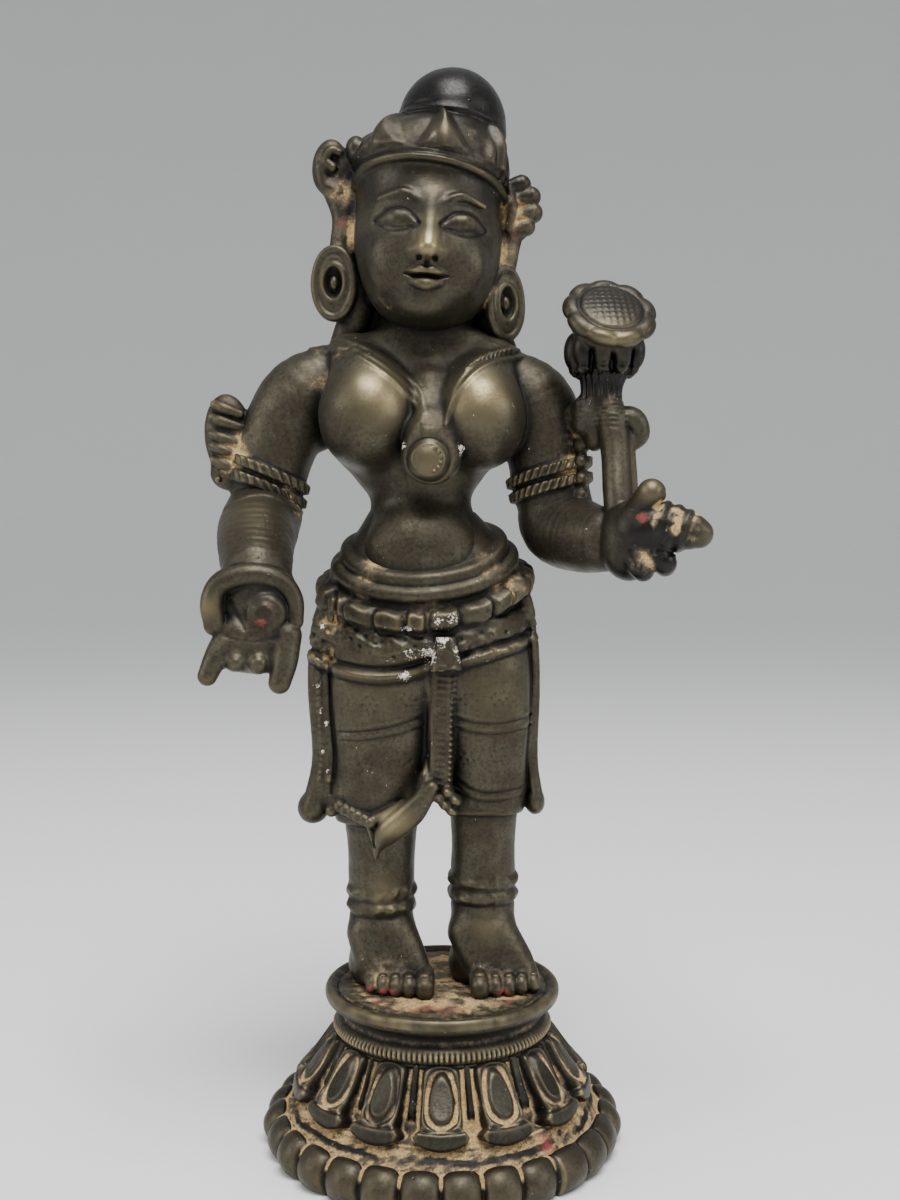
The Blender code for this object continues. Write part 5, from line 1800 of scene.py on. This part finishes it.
class Graph:
    """Short words for building a node tree."""

    def __init__(self, tree: bpy.types.NodeTree) -> None:
        """Keeps the tree."""
        self.tree = tree

    def add(self, kind: str, inputs: dict | None = None, **settings: object) -> bpy.types.Node:
        """Adds a node and feeds it.

        Args:
            kind: its type, less the ShaderNode before it.
            inputs: a socket or a value for each input, by name or number.
            settings: the node's own properties.

        Returns:
            The new node.
        """
        node = self.tree.nodes.new(kind if kind.startswith("NodeGroup") else "ShaderNode" + kind)
        for name, value in settings.items():
            setattr(node, name, value)
        for key, source in (inputs or {}).items():
            self.feed(node.inputs[key], source)
        return node

    def feed(self, socket: Socket, source: object) -> None:
        """Links a socket to an output, or sets its value."""
        if isinstance(source, Socket):
            self.tree.links.new(source, socket)
        else:
            socket.default_value = source

    def math(self, operation: str, a: object, b: object, clamp: bool = False) -> Socket:
        """Two values put together."""
        return self.add("Math", {0: a, 1: b}, operation=operation, use_clamp=clamp).outputs[0]

    def times(self, a: object, b: object) -> Socket:
        """Two values multiplied."""
        return self.math("MULTIPLY", a, b)

    def plus(self, a: object, b: object, clamp: bool = False) -> Socket:
        """Two values added."""
        return self.math("ADD", a, b, clamp)

    def mix(self, factor: object, a: object, b: object) -> Socket:
        """A colour between two colours."""
        return self.add("Mix", {"Factor": factor, 6: a, 7: b}, data_type="RGBA").outputs[2]

    def blend(self, factor: object, a: object, b: object) -> Socket:
        """A value between two values."""
        return self.add("Mix", {"Factor": factor, 2: a, 3: b}, data_type="FLOAT").outputs[0]

    def span(self, value: object, low: float, high: float, start: float = 0, end: float = 1) -> Socket:
        """A value carried from one range to another, smoothly and clamped."""
        inputs = dict(enumerate((value, low, high, start, end)))
        return self.add("MapRange", inputs, interpolation_type="SMOOTHSTEP").outputs[0]

    def noise(self, where: object, per_metre: float, detail: float, rough: float = 0.55) -> Socket:
        """Clouds of noise at so many to the metre."""
        inputs = {"Vector": where, "Scale": per_metre, "Detail": detail, "Roughness": rough}
        return self.add("TexNoise", inputs).outputs["Fac"]


def new_group(name: str, inputs: str, outputs: str) -> tuple[Graph, dict[str, Socket], dict[str, Socket]]:
    """A shader node group with named inputs and outputs.

    Args:
        name: its name.
        inputs: the names of its inputs, in one line.
        outputs: the names of its outputs, in one line.

    Returns:
        The graph, what is given to the group and the sockets that take its results, by name.
    """
    tree = bpy.data.node_groups.new(name, "ShaderNodeTree")
    for titles, way in ((inputs, "INPUT"), (outputs, "OUTPUT")):
        for title in titles.split():
            kind = "NodeSocket" + SOCKET_KINDS.get(title, "Float")
            tree.interface.new_socket(title, in_out=way, socket_type=kind)
    graph = Graph(tree)
    given, out = graph.add("NodeGroupInput"), graph.add("NodeGroupOutput")
    return graph, {s.name: s for s in given.outputs}, {s.name: s for s in out.inputs}


def patina_and_painted_light_group() -> bpy.types.NodeTree:
    """Old bronze: brown-black in hollows, as patina and as painted shade; olive-brown on open skin; yellow
    where handled, and as painted highlights.
    """
    graph, i, out = new_group(
        "aged_bronze_and_painted_light", "Place Hollow Crease Black Worn Skin Brown Deep Bare", "Color Roughness Metallic"
    )
    clouds = graph.noise(i["Place"], 380, 5, 0.62)
    grain = graph.noise(i["Place"], 3000, 4, 0.65)
    brown = graph.mix(graph.span(clouds, 0.4, 0.6), i["Skin"], i["Brown"])
    mottled = graph.mix(graph.span(grain, 0.42, 0.68, 0, 0.5), brown, i["Deep"])
    # Painted shade: darker by how enclosed a place is and in concave creases, together with the dark patina
    # there.
    shade = graph.plus(graph.span(i["Hollow"], -0.12, 0.42), graph.span(i["Crease"], -0.08, -0.9), True)
    shade = graph.times(shade, graph.span(grain, 0.25, 0.6, 0.8, 1))
    black = graph.times(i["Black"], graph.span(clouds, 0.25, 0.6, 0.75, 1))
    # The Black mark is the bronze's own dark colour; it is joined to the painted shade here.
    shade = graph.math("MAXIMUM", shade, black, True)
    dark = graph.mix(shade, mottled, i["Deep"])
    # Worn yellow on edges that stand out; the Worn mark adds painted highlights in the same yellow.
    wear_and_highlight = graph.times(graph.span(i["Crease"], 0.2, 1.4), graph.span(i["Hollow"], 0.05, -0.4))
    wear_and_highlight = graph.times(wear_and_highlight, graph.span(clouds, 0.35, 0.62, 0.1, 0.5))
    held = graph.times(i["Worn"], graph.span(grain, 0.3, 0.6, 0.65, 1))
    wear_and_highlight = graph.math("MAXIMUM", wear_and_highlight, held, True)
    wear_and_highlight = graph.times(wear_and_highlight, graph.math("SUBTRACT", 1, graph.times(shade, 0.85), True))
    graph.feed(out["Color"], graph.mix(wear_and_highlight, dark, i["Bare"]))
    rough = graph.blend(shade, graph.span(clouds, 0.3, 0.7, 0.42, 0.54), 0.6)
    rough = graph.blend(graph.math("MINIMUM", black, 1), rough, graph.span(grain, 0.3, 0.7, 0.26, 0.42))
    graph.feed(out["Roughness"], graph.blend(wear_and_highlight, rough, 0.33))
    graph.feed(out["Metallic"], graph.blend(shade, 0.8, 0.7))
    return graph.tree


def crust_group() -> bpy.types.NodeTree:
    """Dry clay, red pigment and white lime lying in patches over what is below."""
    graph, i, out = new_group(
        "old_offerings",
        "Place Color Roughness Metallic Hollow Crease Clay Red White",
        "Color Roughness Metallic Crust",
    )
    patches = graph.noise(i["Place"], 950, 6, 0.7)
    crumbs = graph.noise(i["Place"], 5200, 3, 0.6)
    uneven = graph.plus(graph.times(patches, 1.5), graph.times(crumbs, 0.35))
    low = graph.times(graph.span(i["Crease"], 0.6, -0.6, -0.25, 0.3), graph.span(i["Clay"], 0, 0.5))
    amount = graph.plus(graph.plus(i["Clay"], low), uneven)
    present = graph.span(i["Clay"], 0.03, 0.3)
    clay = graph.times(graph.span(amount, 1.42, 1.78), present)
    stain = graph.times(graph.span(amount, 1.1, 1.6, 0, 0.75), present)
    earth = graph.mix(graph.span(crumbs, 0.3, 0.7), (0.27, 0.175, 0.07, 1), (0.52, 0.365, 0.165, 1))
    earth = graph.mix(graph.span(patches, 0.5, 0.66, 0, 0.6), earth, (0.17, 0.108, 0.05, 1))
    colour = graph.mix(stain, i["Color"], (0.135, 0.098, 0.056, 1))
    colour = graph.mix(clay, colour, earth)
    red = graph.times(i["Red"], graph.plus(graph.times(uneven, 0.9), -0.1))
    red = graph.span(red, 0.4, 0.75)
    colour = graph.mix(graph.times(red, 0.85), colour, (0.2, 0.028, 0.026, 1))
    grains = graph.plus(graph.times(crumbs, 2.6), graph.times(patches, 1.6))
    white = graph.span(graph.plus(graph.times(i["White"], 1.2), grains), 2.75, 2.95)
    colour = graph.mix(white, colour, (0.72, 0.66, 0.58, 1))
    cover = graph.math("MAXIMUM", clay, graph.math("MAXIMUM", red, white))
    graph.feed(out["Color"], colour)
    dusty = graph.math("MAXIMUM", cover, stain)
    graph.feed(out["Roughness"], graph.blend(dusty, i["Roughness"], 0.93))
    graph.feed(out["Metallic"], graph.blend(dusty, i["Metallic"], 0))
    graph.feed(out["Crust"], graph.times(cover, graph.span(crumbs, 0.2, 0.8, 0.5, 1)))
    return graph.tree


def skin_group() -> bpy.types.NodeTree:
    """The cast surface: fine grain, scattered pits and faint level scratches, as one height."""
    graph, i, out = new_group("cast_skin", "Place Crust", "Height")
    grain = graph.noise(i["Place"], 3800, 4, 0.6)
    dents = graph.noise(i["Place"], 900, 2, 0.5)
    pits = graph.add("TexVoronoi", {"Vector": i["Place"], "Scale": 1100.0}, feature="F1")
    hole = graph.span(pits.outputs["Distance"], 0.05, 0.16)
    some = graph.span(graph.noise(i["Place"], 700, 1), 0.55, 0.62)
    hole = graph.times(graph.math("SUBTRACT", 1, hole), some)
    stretch = graph.add("Mapping", {"Vector": i["Place"], "Scale": (0.08, 0.08, 1)})
    scratch = graph.noise(stretch.outputs["Vector"], 9000, 2, 0.5)
    height = graph.plus(graph.times(grain, 0.35), graph.times(dents, 0.5))
    height = graph.plus(height, graph.times(scratch, 0.2))
    height = graph.math("SUBTRACT", height, graph.times(hole, 0.8))
    height = graph.plus(height, graph.times(i["Crust"], 1.2))
    graph.feed(out["Height"], height)
    return graph.tree


@dataclass(frozen=True)
class BronzeFinish:
    """Old cast bronze with its dirt, painted shade and painted highlights, dressed from the marks on the
    vertices.
    """

    name: str
    skin: Row = (0.065, 0.059, 0.038, 1.0)
    brown: Row = (0.05, 0.0405, 0.0265, 1.0)
    # deep: dark patina, also laid on as painted shade in hollows and creases.
    deep: Row = (0.0095, 0.0087, 0.008, 1.0)
    # bare: the yellow of bare metal, for wear and for painted highlights.
    bare: Row = (0.33, 0.265, 0.14, 1.0)
    bump: float = 0.4
    bump_height: float = 0.00012

    def material(self) -> bpy.types.Material:
        """The material: patina with painted shade and painted highlights, crusts over it, and the cast skin
        as a bump.

        The groups are built once and shared. Each one's inputs take what has their name: a place, a
        mark, one of the finish's own colours, or what an earlier group gives.

        Returns:
            The new material.
        """
        material = bpy.data.materials.new(self.name)
        material.use_nodes = True
        graph = Graph(material.node_tree)
        shader = material.node_tree.nodes["Principled BSDF"]
        known = {"Skin": self.skin, "Brown": self.brown, "Deep": self.deep, "Bare": self.bare}
        known["Place"] = graph.add("TexCoord").outputs["Object"]
        for mark in Mark:
            known[mark.value.title()] = graph.add("Attribute", attribute_name=mark.value).outputs["Fac"]
        for name, build in (
            ("aged_bronze_and_painted_light", patina_and_painted_light_group), ("old_offerings", crust_group), ("cast_skin", skin_group)
        ):
            group = graph.add("Group", node_tree=bpy.data.node_groups.get(name) or build())
            for socket in group.inputs:
                graph.feed(socket, known[socket.name])
            known |= {socket.name: socket for socket in group.outputs}
        bump = graph.add(
            "Bump", {"Strength": self.bump, "Distance": self.bump_height, "Height": known["Height"]}
        )
        known |= {"Base Color": known["Color"], "Normal": bump.outputs["Normal"]}
        for title in ("Base Color", "Roughness", "Metallic", "Normal"):
            graph.feed(shader.inputs[title], known[title])
        return material


@dataclass(frozen=True)
class Studio:
    """Camera as in the photograph, soft lights and a pale floor that sweeps up all round."""

    camera_place: Row = (0.75, -121.0, 55.8)
    look_down: float = 2.2
    lens: float = 38.4
    floor_radius: float = 1500.0
    sweep_height: float = 1600.0

    def set_up(self) -> None:
        """Builds everything that isn't the statue."""
        self.camera()
        self.floor()
        self.lights()

    def camera(self) -> None:
        """The photograph's viewpoint."""
        data = bpy.data.cameras.new("view")
        data.sensor_fit = "AUTO"
        data.sensor_width = 36.0
        data.lens = self.lens
        data.clip_start = 0.004
        camera = linked("view", data)
        camera.location = [value * MM for value in self.camera_place]
        camera.rotation_euler = (math.radians(90 - self.look_down), 0, 0)
        bpy.context.scene.camera = camera

    def floor(self) -> None:
        """A disc that bends up into a wall: height = sweep (r/R)^6 on a grid of radius and angle."""
        turn = np.linspace(0, math.tau, 96, endpoint=False)[None, :]
        share = np.linspace(0.002, 1, 60)[:, None]
        radius = share * self.floor_radius
        height = self.sweep_height * share**6 - 0.02
        points = np.stack([radius * np.cos(turn), radius * np.sin(turn), height + 0 * turn], axis=-1)
        mesh = mesh_of("floor", points.reshape(-1, 3), closed_grid(*points.shape[:2])[2])
        mesh.shade_smooth()
        material = bpy.data.materials.new("pale_floor")
        material.use_nodes = True
        shader = material.node_tree.nodes["Principled BSDF"]
        shader.inputs["Base Color"].default_value = (0.8, 0.8, 0.795, 1)
        shader.inputs["Roughness"].default_value = 0.9
        mesh.materials.append(material)
        floor = linked("floor", mesh)

    def lights(self) -> None:
        """A broad lamp above and in front, a fill on each side and a pale surround."""
        self.lamp("key", (30, -190, 450), 250, 3.3)
        self.lamp("fill_right", (420, -200, 220), 260, 0.95)
        self.lamp("fill_left", (-400, -160, 220), 260, 0.95)
        world = bpy.data.worlds.new("room")
        world.use_nodes = True
        background = world.node_tree.nodes["Background"]
        background.inputs["Color"].default_value = (0.82, 0.84, 0.86, 1)
        background.inputs["Strength"].default_value = 0.6
        bpy.context.scene.world = world

    def lamp(self, name: str, where: Row, size: float, watts: float) -> None:
        """A square area lamp aimed at the statue's chest.

        Args:
            name: its name.
            where: its place in millimetres.
            size: its side in millimetres.
            watts: its power.
        """
        data = bpy.data.lights.new(name, "AREA")
        data.energy = watts
        data.size = size * MM
        lamp = linked(name, data)
        lamp.location = [value * MM for value in where]
        aim = Vector((0, 0, 0.055)) - lamp.location
        lamp.rotation_euler = aim.to_track_quat("-Z", "Y").to_euler()


def spots(**marks: Rows) -> list[Spot]:
    """Spots from rows of x, y, z, reach and amount, each group named by its mark."""
    return [Spot(Mark(name), row[:3], *row[3:]) for name, rows in marks.items() for row in rows]


def head_spots() -> list[Spot]:
    """Black topknot, painted shade on the sides of the face, clay round the ears, and painted highlights in
    worn yellow on the nose, brow, forehead, chin and crown front.
    """
    # Black is dark patina on the topknot, crown, brows and chin; the spots on the sides of the face and of
    # the brow band are painted shade.
    black = (
        (0.9, 0.4, 83.4, 5.6, 3), (-1, -5, 74.6, 4.4, 0.9), (-7.6, -1, 76, 3.6, 0.9),
        (6.4, 0, 77.4, 4.4, 1), (-1.2, -6.4, 71.4, 3.4, 0.6), (-5.4, -4.6, 69, 3, 0.5),
        (3.2, -5, 69, 3, 0.5), (-1, -5.6, 64, 3, 0.3), (4.2, -3.4, 74.4, 3.4, 0.7),
        (-5.6, -3.6, 74.4, 3.4, 0.7), (0.2, -6.4, 79.4, 1.8, 0.4),
    )
    clay = (
        (-9.8, -0.6, 74.6, 1.6, 0.8), (-8.6, -0.4, 71, 1.7, 0.65), (6.9, -0.4, 72.4, 1.7, 0.8),
        (6.4, -0.6, 69, 1.8, 0.7), (4.6, -0.8, 64.6, 1.5, 0.5), (-3.6, -6.3, 78.6, 1.6, 0.3),
        (3.6, -5.6, 78.6, 1.7, 0.4), (-5.4, -4.6, 63.4, 1.4, 0.35),
    )
    red = ((-9.6, -0.4, 71.8, 1.2, 0.8), (6.8, -0.6, 70.4, 1.1, 0.8))
    # Worn: painted highlights on the nose, between the brows, on the forehead, the chin and the crown's
    # front.
    worn = (
        (0, -7.4, 78.6, 1.2, 0.35), (-0.6, -6.6, 74, 1.4, 0.35), (-1.1, -8.3, 68.2, 1.2, 1),
        (-0.8, -7.8, 70.4, 0.8, 0.6), (-1.2, -7.6, 64, 0.9, 0.35),
    )
    return spots(black=black, clay=clay, red=red, worn=worn)


def torso_spots() -> list[Spot]:
    """Painted highlights in worn yellow on the upper inner breasts and the pendant, clay in the arm creases
    and behind the fan.
    """
    # Worn: painted highlights where the light catches the breasts and the pendant, in the yellow of worn
    # metal.
    worn = ((-5, -7.9, 55.6, 2.6, 0.65), (3.5, -7.9, 55.4, 2.5, 0.65), (-0.95, -8.3, 49, 1.8, 0.25))
    clay = (
        (-11.8, -1.8, 57, 1.5, 0.6), (-9, -2.6, 59, 1.4, 0.5), (-18.7, -1.2, 50.6, 1.7, 0.8),
        (-19.8, -1, 49.4, 1.4, 0.7), (13, -2, 52, 1.8, 0.75), (12.4, -2.6, 48.8, 1.8, 0.7),
        (-13.4, -2.4, 46.6, 1.6, 0.5), (-1, -6.4, 58.6, 1.8, 0.3), (6.4, -4.4, 50.8, 1.3, 0.35),
    )
    white = ((1.6, -6.4, 50.2, 0.6, 0.9), (-3.3, -6.4, 50.6, 0.5, 0.8))
    return spots(worn=worn, clay=clay, white=white)


def giving_spots() -> list[Spot]:
    """Red round the palm's boss, clay above the wrist."""
    red = ((-15.4, -13.4, 35, 1, 0.9), (-14.4, -13.6, 36.4, 0.8, 0.7), (-18, -12.6, 37.8, 0.7, 0.6))
    clay = ((-13.6, -1.4, 45, 1.5, 0.6), (-16.6, -10.8, 38.8, 1.2, 0.35))
    black = ((-15.6, -12, 37, 3, 0.5),)
    # Worn: painted highlights, a faint broad one on the forearm, which faces down away from the light, and
    # one on the end of the thumb's arch.
    worn = ((-17.2, -6.6, 44.2, 2.6, 0.12), (-19.8, -13.2, 36.4, 1, 0.35))
    return spots(red=red, clay=clay, black=black, worn=worn)


def lotus_spots() -> list[Spot]:
    """Black calyx and palm, tan stripes between the fingers, red by the thumb."""
    stripes = []
    lines = (((19, 45.7), (18.1, 43.7)), ((20.3, 45.1), (19.9, 43.1)), ((21.9, 44.2), (21.5, 42.4)))
    for start, end in lines:
        for share in (0, 0.33, 0.67, 1):
            x, z = (a + share * (b - a) for a, b in zip(start, end))
            radius = float(np.interp(x, (17.2, 18.8, 20.4, 21.7, 22.4), (2.5, 2.4, 2, 1.45, 1.1)))
            y = -9.9 - math.sqrt(max(radius**2 - (z - 43) ** 2, 0))
            stripes.append((x, y, z, 0.54, 1.38))
    clay = (
        (17.4, -10.6, 40.2, 1.1, 0.9), (12.6, -1.6, 52.6, 1.8, 0.7), (15.4, -5.8, 54.6, 1.3, 0.45),
        (16.6, -9.4, 62, 1.6, 0.25),
    )
    black = (
        (14.9, -3, 58.6, 3.9, 2.2), (14.8, -3.2, 56.4, 2.7, 1.5), (18.8, -9.4, 42.2, 3.4, 1.9),
        (17.8, -9.4, 39.8, 2.6, 1.9), (15.4, -7, 43.6, 2.4, 0.6), (11.2, -1.6, 43, 3.4, 0.55),
        (15.1, -6.6, 63.2, 4.6, 0.85),
    )
    red = ((17.4, -11, 43.9, 0.9, 1.1), (17.9, -11.2, 42.9, 0.6, 0.8))
    # Worn: painted highlights in worn yellow on the thumb, the seed head's front rim and the tip of the
    # forefinger.
    worn = ((17.8, -11.4, 46.6, 1.2, 0.4), (15.4, -9.4, 60.3, 2.4, 0.7), (22.8, -10.9, 42.6, 0.9, 0.25))
    return spots(clay=(*stripes, *clay), black=black, red=red, worn=worn)


def skirt_spots() -> list[Spot]:
    """White lime round the clasp, clay in the folds, red and yellow at the toes."""
    places = (
        (-3.1, -6.8, 34), (-0.5, -7.2, 34.9), (-0.5, -7.2, 34), (0.1, -7.4, 33.4), (1.3, -7.3, 35.2),
        (1.6, -7.2, 32.4), (1.9, -7.3, 31.4), (-3, -6.9, 31.7), (-2.4, -7, 31), (-4.9, -6.6, 31),
        (3, -6.8, 31.9), (-1.3, -7, 31.8), (-3.4, -6.2, 29.8), (-1.4, -5.7, 23.6), (3.2, -5.9, 38.9),
    )
    rng = np.random.default_rng(SEED + 5)
    white = [(*spot, rng.uniform(0.55, 1), rng.uniform(0.8, 1.05)) for spot in places]
    beads = (
        (-11.5, 28.6), (-11.2, 26.4), (-10.8, 25.2), (-11.1, 22.6), (-10.7, 20.8), (-11, 34.2),
        (8.5, 22.4),
    )
    white += [(x, -2.9, z, 0.34, 1.0) for x, z in beads]
    clay = (
        (-6.4, -4.8, 40, 1.4, 0.85), (3.8, -4.8, 40.8, 1.3, 0.6), (-7.4, -4.6, 38, 1.4, 0.6),
        (4.8, -4.4, 38.8, 1.4, 0.6), (7.2, -3.4, 38, 1.5, 0.7), (-10.2, -3.2, 34.4, 1.6, 0.6),
        (-10.6, -3.2, 31.6, 1.4, 0.45), (-9.8, -3.6, 19, 1.3, 0.45), (-0.5, -4.2, 18, 1.1, 0.4),
        (0.2, -4.2, 1, 2, 0.6), (-6, -2.4, 0.6, 3.6, 0.45), (4.6, -3, 0.6, 3, 0.35),
        (-1.6, -6.8, 36.2, 3.4, 0.28), (-1, -6, 27, 1.6, 0.3),
    )
    red = (
        (-7, -4.7, 0.5, 1.3, 1.3), (-5.2, -5, 0.4, 1.2, 1.3), (5.6, -5, 0.3, 1.2, 1.2),
        (0.6, -2.6, 0.3, 1.4, 0.6), (-5.8, -2.4, 8.2, 1, 0.45),
    )
    # Worn: painted highlights in worn yellow on the end of the band, the thighs, the left anklet and the
    # right ankle.
    worn = (
        (-4.6, -5.4, 16.6, 1.6, 0.6), (-6.2, -6.4, 29, 3.4, 0.12), (4.6, -6.2, 28, 3, 0.1),
        (-5.4, -3.6, 9, 1.6, 0.5), (4.2, -3, 6, 1.4, 0.3),
    )
    return spots(white=white, clay=clay, red=red, worn=worn)


def main() -> None:
    """Builds the statue and its studio."""
    logging.basicConfig(level=logging.INFO, format="%(name)s %(message)s")
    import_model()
    Studio().set_up()
    parts = [
        Head(spots=head_spots()),
        Torso(spots=torso_spots()),
        GivingHand(spots=giving_spots()),
        HoldingHand(spots=lotus_spots()),
        SkirtAndLegs(spots=skirt_spots()),
    ]
    surroundings = Surroundings()
    for part in parts:
        part.cast()
        surroundings.fill(part.wax)
    surroundings.settle()
    for part in parts:
        part.finish(surroundings, BronzeFinish(part.name + "_bronze"))
    for turned in (LotusBase(), PlateAndCollar()):
        turned.make(surroundings, BronzeFinish(turned.name + "_bronze"))


if __name__ == "__main__":
    main()
